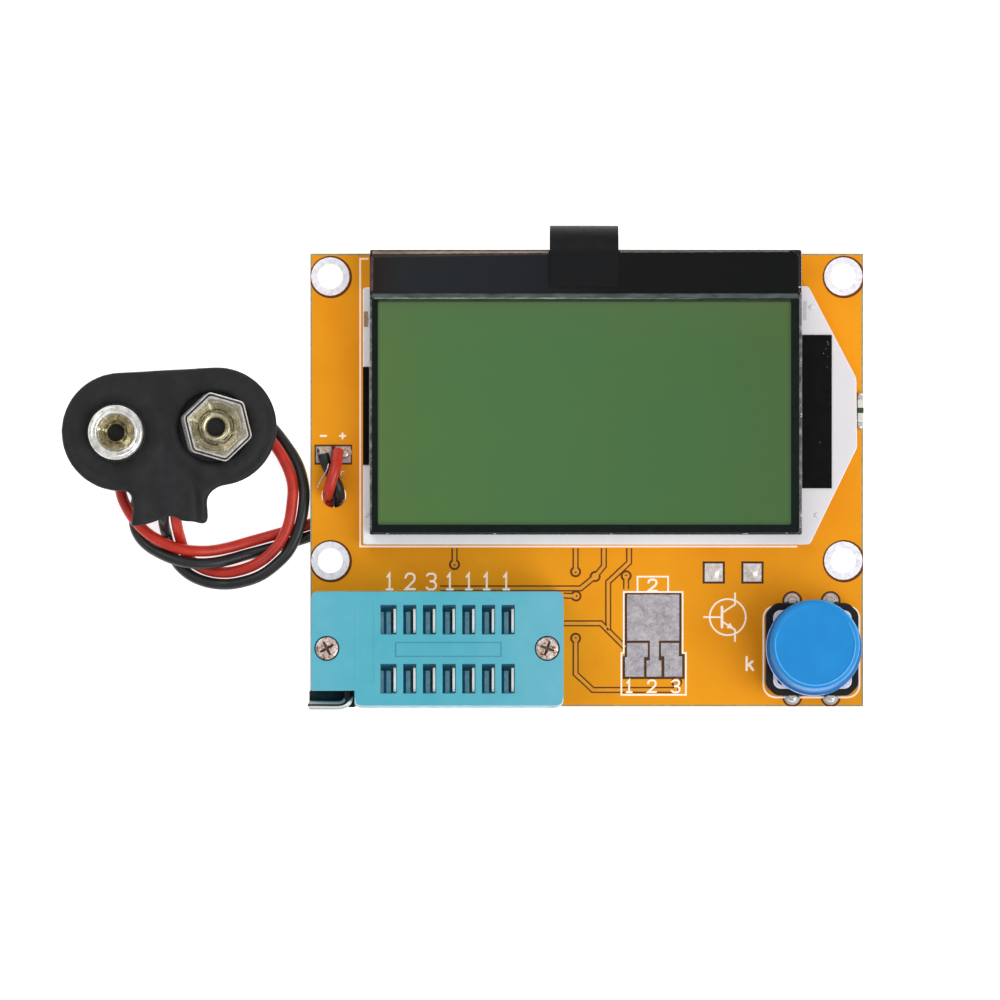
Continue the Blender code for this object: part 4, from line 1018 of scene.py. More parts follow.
# characters, their x places, y, width, width of a 2 or 3, height, stroke width
LETTERING = [
    ("1231111", (-25.68, -22.99, -20.25, -17.83, -15.35, -13.03, -10.49), -13.22, 1.05, 1.35,
     2.05, 0.26),
    ("123", (5.51, 8.48, 11.56), -26.86, 0.9, 1.15, 1.55, 0.24),
    ("2", (8.55,), -13.71, 1.2, 1.2, 1.5, 0.27),
    ("k", (21.26,), -23.89, 1.1, 1.1, 1.7, 0.30),
    ("-+", (-34.3, -31.8), 5.75, 1.0, 1.0, 1.0, 0.24),
]
ink_levels = cycle((1, 2, 3, 4, 5, 6, 7, 8, 0))


def ink():
    """How far a stroke's faces stand off the board: each a hair above the last, for crossings."""
    level = next(ink_levels)
    return 0.02 + 0.0005 * level, 0.055 + 0.0012 * level


mesh = bmesh.new()
for text, places, middle_y, narrow, wide, height, stroke_width in LETTERING:
    for character, middle_x in zip(text, places):
        width = wide if character in "23" else narrow
        for stroke in STROKES[character]:
            path = [(middle_x + (u - 0.5) * width, middle_y + (v - 0.5) * height)
                    for u, v in stroke]
            ribbon(mesh, path, stroke_width, *on_top(*ink()))
            for x, y in (path[0], path[-1]):
                washer(mesh, x, y, 0, stroke_width / 2, *on_top(*ink()), 12)
piece("silk_digits", mesh, "white_silk_ink")

LINE = 0.22
SYMBOL_X, SYMBOL_Y = 18.35, -17.85   # middle of the transistor symbol


def symbol(*offsets):
    return [(SYMBOL_X + x, SYMBOL_Y + y) for x, y in offsets]


# path, width, whether it closes
SILK_LINES = [
    ([(-28.4, 28.8), (-29.5, 28.8), (-29.5, -8.66), (27.4, -8.66)], LINE, False),
    ([(4.81, -14.58), (12.47, -14.58), (12.47, -22.51), (12.90, -22.51), (12.90, -27.97),
      (4.50, -27.97), (4.50, -22.51), (4.81, -22.51)], LINE, True),
    ([(6.6, -14.58), (6.6, -12.58), (10.58, -12.58), (10.58, -14.58)], LINE, False),
    (rounded(23.0, 35.5, -28.3, -16.4, 1.6, 6), LINE, True),
    (circle(SYMBOL_X, SYMBOL_Y, 2.35, 40), LINE, True),
    (symbol((-0.75, -1.45), (-0.75, 1.45)), 0.34, False),
    (symbol((-3.2, 0), (-0.75, 0)), LINE, False),
    (symbol((-0.75, 0.55), (0.95, 1.65), (0.95, 3.2)), LINE, False),
    (symbol((-0.75, -0.55), (0.95, -1.65), (0.95, -3.2)), LINE, False),
]
mesh = bmesh.new()
for path, width, closed in SILK_LINES:
    ribbon(mesh, path, width, *on_top(*ink()), closed=closed)
prism(mesh, symbol((0.75, -1.52), (0.30, -0.72), (-0.16, -1.42)), *on_top(*ink()))
piece("silk_lines", mesh, "white_silk_ink")

# =====================================================================  solder joints
BUTTON_X, BUTTON_Y = 29.25, -22.0
SWITCH_PINS = [(BUTTON_X + x, BUTTON_Y + y) for x in (-2.5, 2.5) for y in (-6.25, 6.25)]
PIN_COLUMNS = [-25.50 + 2.54 * i for i in range(7)]
PIN_ROWS = (-18.04, -25.66)
SOCKET_PINS = [(x, y) for x in PIN_COLUMNS for y in PIN_ROWS]


def fillet(mesh, x, y, radius, start, height, tip=0.32, lean=0.0, wobble=0.05):
    """A solder cone with a concave skirt; a height below zero makes it hang. lean is in y."""
    count, steps = 28, 7
    phase = random.random() * 6
    rings = []
    for k in range(steps + 1):
        t = k / steps
        reach = tip + (radius - tip) * (1 - t) ** 2.0
        z = start + height * t ** 0.9
        rings.append([mesh.verts.new((
            x + reach * (1 + wobble * (1 - t) * math.sin(3 * a + phase)) * math.cos(a),
            y + lean * t + reach * (1 + wobble * (1 - t) * math.cos(2 * a + phase)) * math.sin(a),
            z)) for a in (2 * math.pi * i / count for i in range(count))])
    rings.append([mesh.verts.new((vert.co.x + (x - vert.co.x) * 0.5,
                                  vert.co.y + (y + lean - vert.co.y) * 0.5,
                                  start + height * 1.07)) for vert in rings[-1]])
    return skin(mesh, rings)


for number, (x, y) in enumerate(SWITCH_PINS, 1):
    mesh = bmesh.new()
    near, far = 0.006, 0.05
    lathe(mesh, x, y, [(0, TOP + near), (1.05, TOP + near), (1.02, TOP + far), (0, TOP + far)], 36)
    lathe(mesh, x, y, [(0, LOW - far), (1.02, LOW - far), (1.05, LOW - near), (0, LOW - near)], 36)
    piece(f"switch_pad_{number}", mesh, "tinned_copper")
    outline = washer(bmesh.new(), x, y, 1.0, 1.30, *on_top(0.003, 0.014), 36)
    piece(f"switch_pad_outline_{number}", keep_on_board(outline), "mask_step_shadow")
    piece(f"switch_joint_top_{number}", fillet(bmesh.new(), x, y, 0.98, TOP + 0.045, 0.55, 0.5),
          "solder_fillet", angle=60)
    piece(f"switch_joint_under_{number}",
          fillet(bmesh.new(), x, y, 0.98, LOW - 0.045, -1.1, 0.52),
          "solder_fillet", angle=60)

joints, pads = bmesh.new(), bmesh.new()
for x, y in SOCKET_PINS:
    fillet(joints, x + 0.35, y, 0.85, LOW - 0.04, -1.25, 0.36)
    lathe(pads, x + 0.35, y, [(0, LOW - 0.045), (0.92, LOW - 0.045), (0.95, LOW - 0.006),
                              (0, LOW - 0.006)], 28)
piece("socket_joints_under", joints, "solder_fillet", angle=60)
piece("socket_pads_under", pads, "tinned_copper")

# =====================================================================  test socket: cover
shell = cad_box("zif_cover")
SLOT_HALF_WIDTH, SLOT_HALF_LENGTH = 0.84, 1.9
# areas are (left, right, front, back); the leftmost slots are wider
SLOTS = [(-26.73 if x == PIN_COLUMNS[0] else x - SLOT_HALF_WIDTH, x + SLOT_HALF_WIDTH,
          y - SLOT_HALF_LENGTH, y + SLOT_HALF_LENGTH) for x, y in SOCKET_PINS]
NOTCH_X, NOTCH_Y = -30.05, -27.2            # the notch takes the front left corner
CRANK_ROOM = (-31.96, -30.64, -26.5, -23.1)  # recess in the underside
CRANK_CEILING = shell.bottom + 0.75
ENGRAVED_FRAME = (-24.86, -11.12, -22.85, -20.90)
GROOVE = 0.16
LABEL_PANELS = ((-31.8, -30.05, -25.8, -17.1), (-29.35, -27.6, -26.3, -15.9))
SCREWS = {"left": (-33.65, -21.75), "right": (-5.2, -21.75)}
FRONT_RIGHT_RADIUS, NOTCH_RADIUS = 1.1, 0.9


def cover_cell(x, y, z):
    if x < NOTCH_X and y < NOTCH_Y:
        return False
    if any(inside(slot, x, y) for slot in SLOTS):
        return False
    return not (z < CRANK_CEILING and inside(CRANK_ROOM, x, y))


mesh = bmesh.new()
cells(mesh,
      grid_lines(shell.left, shell.right, NOTCH_X, *CRANK_ROOM[:2], *[x for s in SLOTS for x in s[:2]]),
      grid_lines(shell.front, shell.back, NOTCH_Y, *CRANK_ROOM[2:], *[y for s in SLOTS for y in s[2:]]),
      grid_lines(shell.bottom, CRANK_CEILING, shell.top), cover_cell)
bmesh.ops.recalc_face_normals(mesh, faces=mesh.faces)
# merge the walls' two layers of cells
flat_edges = [e for e in mesh.edges
              if all(abs(v.co.z - shell.bottom - 0.75) < 1e-4 for v in e.verts)
              and len(e.link_faces) == 2
              and e.link_faces[0].normal.dot(e.link_faces[1].normal) > 0.999]
bmesh.ops.dissolve_edges(mesh, edges=flat_edges, use_verts=True)
for x, y, radius in ((shell.right, shell.front, FRONT_RIGHT_RADIUS),
                     (shell.right, shell.back, 0.8), (shell.left, shell.back, 0.8),
                     (shell.left, NOTCH_Y, 0.35), (NOTCH_X, shell.front, NOTCH_RADIUS)):
    corner = [e for e in mesh.edges
              if all(abs(v.co.x - x) < 1e-3 and abs(v.co.y - y) < 1e-3 for v in e.verts)]
    bmesh.ops.bevel(mesh, geom=corner, offset=radius, segments=5, profile=0.5, affect="EDGES",
                    clamp_overlap=False)
mesh.normal_update()
front_edges = [e for e in mesh.edges
               if len(e.link_faces) == 2 and all(abs(v.co.z - shell.top) < 1e-4 for v in e.verts)
               and any(abs(face.normal.z) < 0.5 for face in e.link_faces)
               and max(v.co.y for v in e.verts) < shell.front + 1.12
               and max(v.co.x for v in e.verts) > NOTCH_X - 0.01]
chamfer = bmesh.ops.bevel(mesh, geom=front_edges, offset=0.50, segments=1, profile=0.5,
                          affect="EDGES", clamp_overlap=True)
# the front chamfer gets the pale nylon as a painted highlight
for face in chamfer["faces"]:
    face.material_index = 1
cover = piece("socket_cover", mesh, ("socket_nylon", "socket_nylon_lit_edge"),
              body="cover", replaces="zif_cover")
add_bevel(cover, 0.13, 2)
apply_modifiers(cover)
SCREW_WELL = [(0, 10.0), (0.66, 10.0), (0.66, 13.3), (1.60, 13.3), (1.62, 14.68), (1.74, 16.0),
              (0, 16.0)]
for x, y in SCREWS.values():
    cut(cover, lathe(bmesh.new(), x, y, SCREW_WELL))
left, right, front, back = ENGRAVED_FRAME
outer = rectangle(left, right, front, back)
inner = rectangle(left + GROOVE, right - GROOVE, front + GROOVE, back - GROOVE)
floor_z, over = shell.top - 0.12, shell.top + 1
cut(cover, ring_solid(bmesh.new(), (outer, floor_z), (outer, over), (inner, over),
                      (inner, floor_z)))
for panel in LABEL_PANELS:
    cut(cover, prism(bmesh.new(), rounded(*panel, 0.25, 3), shell.top - 0.035, over))
cover.data.shade_smooth()
cover.data.set_sharp_from_angle(angle=math.radians(40))
cover.modifiers.new("Normals", "WEIGHTED_NORMAL").keep_sharp = True

# a thin lip along the cover's front edge, painted pale as a highlight
lip_left, lip_right = NOTCH_X + NOTCH_RADIUS, shell.right - FRONT_RIGHT_RADIUS
path = [on_circle(lip_left, shell.front + NOTCH_RADIUS, NOTCH_RADIUS, degrees)
        for degrees in range(195, 271, 15)]
path += [(lip_left + (lip_right - lip_left) * i / 40, shell.front) for i in range(1, 40)]
path += [on_circle(lip_right, shell.front + FRONT_RIGHT_RADIUS, FRONT_RIGHT_RADIUS, degrees)
         for degrees in range(-90, -4, 9)]
mesh = bmesh.new()
rings = []
for i, (x, y) in enumerate(path):
    before, after = path[max(i - 1, 0)], path[min(i + 1, len(path) - 1)]
    length = math.dist(before, after)
    inward = -(after[1] - before[1]) / length, (after[0] - before[0]) / length
    taper = min(1.0, 0.25 + 0.25 * i, 0.25 + 0.12 * (len(path) - 1 - i))
    width = 0.40 * taper + 0.012 * math.sin(i * 1.7)
    # distance in from the edge, height over the cover's top
    section = ((0.02, -0.34), (0.02, -0.12), (0.10, -0.015), (width * 0.9, 0.012),
               (width, -0.02), (width, -0.30))
    rings.append([mesh.verts.new((x + inward[0] * d, y + inward[1] * d, shell.top + z))
                  for d, z in section])
piece("socket_cover_highlight_lip", skin(mesh, rings), "socket_nylon_lit_edge",
      body="cover", angle=60)

# wedges that slope down inside the slots' rear ends
mesh = bmesh.new()
for left, right, front, back in SLOTS:
    section = [(back - 0.02, 14.45), (back - 0.02, 11.35), (back - 0.95, 11.35)]
    first = [mesh.verts.new((left + 0.02, y, z)) for y, z in section]
    second = [mesh.verts.new((right - 0.02, y, z)) for y, z in section]
    mesh.faces.new(first)
    mesh.faces.new(second[::-1])
    for i in range(3):
        j = (i + 1) % 3
        mesh.faces.new((first[i], second[i], second[j], first[j]))
piece("slot_rear_walls", mesh, "slot_end_wall", body="cover", bevel=0.03,
      segments=1)

# =====================================================================  test socket: body
base = cad_box("zif_base")
# painted shadow: a near-black sheet on the notch floor under the lever
piece("lever_notch_painted_shadow",
      block(bmesh.new(), -36.02, -30.12, -29.47, -27.34, 9.302, 9.36),
      "socket_notch_floor")
# pockets are (left, right, front, back, bottom, top)
pockets = []
for x, y in SOCKET_PINS:
    front, back = y - SLOT_HALF_LENGTH, y + SLOT_HALF_LENGTH
    pockets += [(x + 0.05, x + 0.95, front, back, 5.2, 12),
                (x - 0.86, x - 0.5, front, back, 8.8, 12),
                (x + 0.03, x + 0.65, y - 0.45, y + 0.45, 3.0, 5.2)]
pockets += [(-31.555, -30.245, -27.6, -22.65, 9.545, 12), (-32.05, -29.75, -26.5, -23.1, 9.505, 12),
            (base.left - 1, -30.18, base.front - 1, -27.3, 9.3, 12)]
for x, _ in SCREWS.values():
    pockets += [(x - 0.7, x + 1.5, -22.45, -21.05, 3, 12),
                (x - 1.15, x + 1.95, -22.9, -20.6, 3, 5.3)]
FLUTE_DEPTH = 0.25                          # shallow flutes down the front and back
FLUTES = [(-33.0 + k * 3.45, -33.0 + k * 3.45 + 1.7) for k in range(9)]
FLUTE_BOTTOM, FLUTE_TOP = base.bottom + 0.6, base.top - 1.0


def base_cell(x, y, z):
    if any(inside(pocket, x, y) and pocket[4] < z < pocket[5] for pocket in pockets):
        return False
    at_side = y < base.front + FLUTE_DEPTH or y > base.back - FLUTE_DEPTH
    in_flute = FLUTE_BOTTOM < z < FLUTE_TOP and any(a < x < b for a, b in FLUTES)
    return not (at_side and in_flute)


def between(low, high, spans):
    return [value for span in spans for value in span if low < value < high]


mesh = bmesh.new()
cells(mesh,
      grid_lines(base.left, base.right,
                 *between(base.left, base.right, [p[:2] for p in pockets] + FLUTES)),
      grid_lines(base.front, base.back, base.front + FLUTE_DEPTH, base.back - FLUTE_DEPTH,
                 *between(base.front, base.back, [p[2:4] for p in pockets])),
      grid_lines(base.bottom, base.top, FLUTE_BOTTOM, FLUTE_TOP,
                 *between(base.bottom, base.top, [p[4:] for p in pockets])),
      base_cell)
piece("socket_body", mesh, "socket_nylon_body", replaces="zif_base", bevel=0.06,
      segments=1)
for row in ("rear", "front"):
    for number in range(1, 8):
        repaint(f"zif_contact_{row}_{number}", "contact_strip", bevel=0.05)

# cover screws: a foot, the thread and the head, as (radius, z)
SCREW_PROFILE = [(0, 4.1), (0.9, 4.1), (1.0, 4.2), (1.0, 4.9), (0.56, 5.05)]
for k in range(14):
    SCREW_PROFILE += [(0.46, 5.2 + k * 0.5), (0.58, 5.2 + k * 0.5 + 0.25)]
SCREW_PROFILE += [(0.56, 12.6), (0.56, 13.36), (1.42, 13.36), (1.50, 13.44), (1.50, 14.50),
                  (1.44, 14.58), (1.36, 14.62), (1.0, 14.665), (0.5, 14.69), (0, 14.70)]
for tag, degrees in (("left", 28), ("right", -20)):
    x, y = SCREWS[tag]
    screw = piece(f"socket_screw_{tag}", lathe(bmesh.new(), x, y, SCREW_PROFILE, 40),
                  "screw_head_plating", body="cover",
                  replaces=f"zif_cover_screw_{tag}", angle=40)
    cross = []
    for quarter in range(4):
        turn = math.radians(degrees) + quarter * math.pi / 2
        for u, v in ((0.20, -0.20), (0.98, -0.12), (0.98, 0.12)):
            cross.append((x + u * math.cos(turn) - v * math.sin(turn),
                          y + u * math.sin(turn) + v * math.cos(turn)))
    cut(screw, prism(bmesh.new(), cross, 14.02, 15.0), use_self=True)
    screw.data.materials.append(MATERIALS["screw_recess_painted_shade"])
    middle = to_world(x, y)
    for face in screw.data.polygons:
        away = math.hypot(face.center.x - middle.x, face.center.y - middle.y)
        if away < 1.1 * MM and 14.0 * MM < face.center.z < 14.60 * MM:
            face.material_index = 1

# lever: a bent rod with a small crank at its inner end
LEVER_X, LEVER_Z, LEVER_RADIUS = -30.9, 10.2, 0.60
CRANK = 0.4                                 # the crank's offset to the left and up
# y along the shaft, share of the crank's offset
SHAFT = [(-28.1, 0), (-27.4, 0), (-26.6, 0), (-26.15, 0), (-25.85, 0.5), (-25.5, 1), (-24.8, 1),
         (-24.1, 1), (-23.75, 0.5), (-23.45, 0), (-23.1, 0), (-22.75, 0)]
lever = [(-36.25, -29.2), (-35.4, -29.2), (-33.9, -29.2), (-32.6, -29.2), (-31.75, -29.12),
         (-31.15, -28.75)]
lever = [(x, y, LEVER_Z) for x, y in lever]
lever += [(LEVER_X - CRANK * share, y, LEVER_Z + CRANK * share) for y, share in SHAFT]
path = smooth_path(lever, 0.22)
radii, travelled = [], 0.0
for i, point in enumerate(path):
    if i:
        travelled += (point - path[i - 1]).length
    to_full = 1 - min(travelled, 0.4) / 0.4   # the tip rounds off over 0.4 mm
    radii.append(LEVER_RADIUS * min(1.0, math.sqrt(max(0.03, 1 - to_full ** 2))))
piece("socket_lever", tube(bmesh.new(), path, radii, 24), "polished_rod",
      body="lever", replaces="zif_lever", angle=60)

# =====================================================================  display: glass and film
guide = cad_box("lcd_light_guide")
GUIDE_OUTLINE = [(-29.1, -8.4), (28.95, -8.4), (35.1, 4.24), (35.0, 13.24), (28.75, 25.2),
                 (-29.1, 25.0)]
mesh = prism(bmesh.new(), GUIDE_OUTLINE, guide.bottom, guide.top)
round_corners(mesh, 0.35)
piece("light_guide", mesh, "white_light_guide", replaces="lcd_light_guide",
      bevel=0.14, segments=3)
mesh = bmesh.new()
for x, y in ((-28.72, -4.5), (29.9, -4.6), (29.2, 22.4)):
    profile = ((0, -0.2), (0.34, -0.2), (0.34, 0.10), (0.24, 0.18), (0, 0.18))
    lathe(mesh, x, y, [(radius, guide.top + z) for radius, z in profile], 24)
piece("light_guide_pegs", mesh, "white_light_guide")

for side in ("rear", "front"):
    glass = cad_box(f"lcd_{side}_glass")
    piece(f"{side}_glass",
          prism(bmesh.new(), rounded(*glass[:4], 0.25, 3), glass.bottom, glass.top),
          "display_glass", replaces=f"lcd_{side}_glass", bevel=0.13, segments=3)

# printed border round the viewing window, which lies slightly lower
film = cad_box("lcd_front_polarizer")
WINDOW = (-27.15, 26.45, -5.8, 23.15)
WINDOW_DROP = 0.03
outer, inner = rounded(*film[:4], 0.3, 3), rounded(*WINDOW, 0.25, 3)
border = ring_solid(bmesh.new(), (outer, film.bottom), (outer, film.top), (inner, film.top),
                    (inner, film.top - WINDOW_DROP), (inner, film.bottom))
piece("display_border", border, "black_border_print",
      replaces="lcd_front_polarizer", bevel=0.03)


def window_lines(start, end, count):
    return [start + 0.01 + (end - start - 0.02) * i / count for i in range(count + 1)]


window = cells(bmesh.new(), window_lines(*WINDOW[:2], 48), window_lines(*WINDOW[2:], 26),
               [film.bottom + 0.005, film.top - WINDOW_DROP])
piece("display_window", window, "green_polarizer")

# =====================================================================  display: bar
cad_bar = cad_box("lcd_bar_cover")
bar = cad_bar._replace(right=cad_bar.right - 0.30, back=cad_bar.back - 0.10)
outline = [(bar.left, bar.front), (bar.right, bar.front)]
outline += arc(bar.right - 1.3, bar.back - 1.3, 1.3, 0, 90, 9)
outline += arc(bar.left + 0.7, bar.back - 0.7, 0.7, 90, 180, 6)
obj = piece("bar_cover", prism(bmesh.new(), outline, bar.bottom, bar.top), "black_bar",
            replaces="lcd_bar_cover")
cut(obj, block(bmesh.new(), -9.6, 9.6, 25.1, 27.7, 7.0, 8.25))  # room for the driver chip
add_bevel(obj, 0.22, 3, harden=True)
repaint("lcd_driver_chip", "chip_epoxy", bevel=0.05)

# thin strips along the bar's rear edge, the pale ones a painted highlight: name, material, then for
# each end x and how far in from the edge the strip's rear and front sides lie
BAR_STRIPS = (
    ("bar_cut_edge", "bar_cut_edge", (bar.left + 0.36, 0.15, 0.50), (-5.0, 0.14, 0.34)),
    ("bar_brown_edge", "bar_reddish_edge", (bar.left + 0.36, 0.52, 0.96), (-5.0, 0.36, 0.60)),
    ("bar_edge_painted_highlight_right", "bar_cut_edge_grey", (4.25, 0.06, 0.32), (bar.right - 1.35, 0.06, 0.24)),
)
STRIP_LOW, STRIP_TOP = bar.top - 0.05, bar.top + 0.012
for name, material, start, end in BAR_STRIPS:
    rear, front = [], []
    for i in range(61):
        wave = 0.02 * math.sin(i * 1.9) + 0.012 * math.sin(i * 0.7)
        x, rear_in, front_in = (a + (b - a) * i / 60 for a, b in zip(start, end))
        rear.append((x, bar.back - rear_in + 0.3 * wave))
        front.append((x, bar.back - front_in + wave))
    mesh = bmesh.new()
    rear_top, front_top = loop(mesh, rear, STRIP_TOP), loop(mesh, front, STRIP_TOP)
    rear_low, front_low = loop(mesh, rear, STRIP_LOW), loop(mesh, front, STRIP_LOW)
    skin(mesh, list(zip(rear_top, rear_low, front_low, front_top)))
    piece(name, mesh, material)
side_strip = [(bar.left + 0.08, 24.5), (bar.left + 0.42, 24.5), (bar.left + 0.50, bar.back - 1.1),
              (bar.left + 0.34, bar.back - 0.75), (bar.left + 0.10, bar.back - 1.0)]
piece("bar_side_edge", prism(bmesh.new(), side_strip, STRIP_LOW, STRIP_TOP), "bar_side_edge")

# =====================================================================  display: edges and seam
glass = cad_box("lcd_front_glass")
# name, material, whether it runs along x, its fixed edge, width inwards, span along the edge
GROUND_EDGES = (
    ("left", "ground_glass_band", False, glass.left + 0.02, 0.46, (glass.front + 0.5, 23.4)),
    ("right", "ground_glass_band", False, glass.right - 0.02, -0.46, (glass.front + 0.2, 24.0)),
    ("front", "ground_glass_lilac", True, glass.front + 0.06, 0.42,
     (glass.left + 0.4, glass.right - 0.5)),
)
for side, material, along_x, edge, inward, (start, end) in GROUND_EDGES:
    mesh = bmesh.new()
    rings = []
    for i in range(71):
        t = start + (end - start) * i / 70
        inner = edge + inward * (1 + 0.14 * math.sin(i * 1.3) + 0.12 * math.sin(i * 0.47 + 1))
        section = [(edge, glass.top - 0.10), (edge, glass.top + 0.006),
                   (inner, glass.top + 0.012), (inner, glass.top - 0.10)]
        rings.append([mesh.verts.new((t, u, z) if along_x else (u, t, z)) for u, z in section])
    piece(f"glass_edge_{side}", skin(mesh, rings), material)

# small chips along the glass: x, y, width, length
CHIPS = [
    (glass.right - 0.10, 8.3, 0.32, 1.15), (glass.right - 0.16, 9.6, 0.22, 0.5),
    (glass.right - 0.14, 24.1, 0.24, 0.6), (glass.right - 0.28, 25.0, 0.34, 0.22),
    (glass.right - 0.12, -4.6, 0.20, 0.75), (glass.right - 0.2, -6.2, 0.22, 0.35),
    (glass.left + 0.15, -5.9, 0.24, 0.5), (glass.left + 0.2, 3.1, 0.18, 0.6),
    (glass.left + 0.12, 14.8, 0.16, 0.5), (glass.right - 0.10, 15.4, 0.13, 0.8),
    (-12.0, glass.front + 0.12, 0.9, 0.13), (3.2, glass.front + 0.10, 0.7, 0.11),
    (20.5, glass.front + 0.14, 0.8, 0.15), (25.9, glass.front + 0.2, 0.35, 0.2),
    (-25.9, glass.front + 0.14, 0.6, 0.14)]
chip_random = random.Random(11)
mesh = bmesh.new()
for x, y, width, length in CHIPS:
    outline = []
    for i in range(9):
        turn = 2 * math.pi * i / 9
        reach = 0.62 + 0.38 * chip_random.random()
        outline.append((x + width * 0.5 * reach * math.cos(turn),
                        y + length * 0.5 * reach * math.sin(turn)))
    prism(mesh, outline, glass.top - 0.02, glass.top + 0.02)
piece("glass_chips", mesh, "chipped_glass_edge")

# grey seam of sealant between the front glass and the bar, with a bead along its front
seam, bead = bmesh.new(), bmesh.new()
seam_rings, bead_rings = [], []
for i in range(91):
    x = -27.9 + 55.2 * i / 90
    wave = 0.02 * math.sin(i * 1.7) + 0.015 * math.sin(i * 0.6)
    section = [(23.44, 8.72), (23.47 + wave, 8.86), (23.66, 8.93), (23.95 + wave, 8.93),
               (24.16 - wave, 8.84), (24.20, 8.735)]
    seam_rings.append([seam.verts.new((x, y, z)) for y, z in section])
    x = -27.6 + 42.0 * i / 90
    taper = 1.0 if i < 50 else 1 - 0.7 * (i - 50) / 40
    width = (0.19 + 0.03 * math.sin(i * 1.1) + 0.02 * math.sin(i * 2.3)) * taper
    section = [(23.45, 8.80), (23.47, 8.945), (23.45 + width, 8.955), (23.47 + width, 8.86)]
    bead_rings.append([bead.verts.new((x, y, z)) for y, z in section])
piece("glass_seam", skin(seam, seam_rings), "seam_grey", angle=50)
piece("glass_seam_bead", skin(bead, bead_rings), "sealant_pale", angle=50)
piece("display_border_line",
      block(bmesh.new(), WINDOW[0] + 0.1, WINDOW[1] - 0.1, 23.17, 23.43, 8.905, 8.918),
      "border_green_line")

# =====================================================================  display: flex tail
# a film that leaves over the glass, turns down in a half circle and comes back under the board
FLEX_LEFT, FLEX_RIGHT, FLEX_THICK, FLEX_COLUMNS = -4.82, 4.07, 0.15, 16
FLEX_HIGH, FLEX_LOW, FLEX_BEND_Y = 8.90, 1.90, 29.5
bend_radius, bend_z = (FLEX_HIGH - FLEX_LOW) / 2, (FLEX_HIGH + FLEX_LOW) / 2
line = [(y, FLEX_HIGH) for y in (25.0, 25.6, 26.4, 27.5, 28.6)]
line += [(FLEX_BEND_Y + bend_radius * math.sin(math.pi * i / 40),
          bend_z + bend_radius * math.cos(math.pi * i / 40)) for i in range(41)]
line += [(y, FLEX_LOW) for y in (28.4, 27.2, 26.0)]
columns = [FLEX_LEFT + (FLEX_RIGHT - FLEX_LEFT) * k / FLEX_COLUMNS
           for k in range(FLEX_COLUMNS + 1)]
mesh = bmesh.new()
rows = []                                   # (outer, inner) verts across the film
for i, (y, z) in enumerate(line):
    before, after = line[max(i - 1, 0)], line[min(i + 1, len(line) - 1)]
    length = math.dist(before, after)
    out_y = -(after[1] - before[1]) / length * FLEX_THICK / 2
    out_z = (after[0] - before[0]) / length * FLEX_THICK / 2
    rows.append([[mesh.verts.new((x, y + side * out_y, z + side * out_z)) for x in columns]
                 for side in (1, -1)])
skin(mesh, [outer + inner[::-1] for outer, inner in rows], cap=False)
for outer, inner in (rows[0], rows[-1]):
    for k in range(FLEX_COLUMNS):
        mesh.faces.new((outer[k], inner[k], inner[k + 1], outer[k + 1]))
piece("flex_tail", mesh, "black_flex", replaces="lcd_flex_tail", angle=50)

# =====================================================================  display: small marks, LED
spot = [(-29.0, 19.9), (-28.45, 19.9), (-28.38, 20.8), (-28.45, 21.9), (-29.0, 21.9)]
piece("guide_resin_spot", prism(bmesh.new(), spot, guide.top - 0.02, guide.top + 0.05),
      "tan_resin_spot", bevel=0.02, segments=1)
mark = [(28.12, 20.75), (28.50, 20.75), (28.56, 23.2), (28.15, 23.3)]
piece("guide_grey_mark", prism(bmesh.new(), mark, guide.top - 0.02, guide.top + 0.04),
      "grey_resin_spot", bevel=0.02, segments=1)

# specks on the right tape, placed as fractions of its width and length
tape = cad_box("lcd_tape_right")
SPECKS = ((0.88, 0.94), (0.80, 0.91), (0.72, 0.88), (0.86, 0.86), (0.84, 0.79), (0.86, 0.955),
          (0.60, 0.30))
speck_random = random.Random(5)
mesh = bmesh.new()
for u, v in SPECKS:
    x, y = tape.left + (tape.right - tape.left) * u, tape.front + (tape.back - tape.front) * v
    radius = 0.05 + 0.07 * speck_random.random()
    turns = [math.radians(degrees) for degrees in range(0, 360, 60)]
    outline = [(x + radius * (0.6 + 0.4 * speck_random.random()) * math.cos(turn),
                y + 1.3 * radius * math.sin(turn)) for turn in turns]
    prism(mesh, outline, tape.top - 0.01, tape.top + 0.012)
piece("tape_specks", mesh, "pale_specks")
for side in ("right", "left"):
    repaint(f"lcd_tape_{side}", "black_tape", bevel=0.03, segments=1)

# backlight LED and its soldered ends
led = cad_box("backlight_led")
LED_END = 0.48


def led_block(left, right, front, back, radius, top):
    return prism(bmesh.new(), rounded(left, right, front, back, radius, 2), led.bottom, top)


piece("led_housing",
      led_block(led.left, led.right, led.front + 0.5, led.back - 0.5, 0.12, led.top),
      "led_body", replaces="backlight_led", bevel=0.08)
piece("led_window", led_block(led.left - 0.02, led.right + 0.02, 8.70, 9.40, 0.08, led.top + 0.04),
      "led_window_green", bevel=0.05)
for number, front, back, inward in ((1, led.front, led.front + LED_END, 0.35 * -1),
                                    (2, led.back - LED_END, led.back, 0.35)):
    piece(f"led_end_{number}",
          led_block(led.left + 0.04, led.right - 0.04, front, back, 0.08, led.top - 0.25),
          "tinned_lead", bevel=0.05)
    joint = fillet(bmesh.new(), led.middle[0] - 0.05, (front + back) / 2 + inward, 0.42,
                   TOP + 0.01, 0.8, 0.16)
    piece(f"led_joint_{number}", joint, "solder_fillet", angle=60)

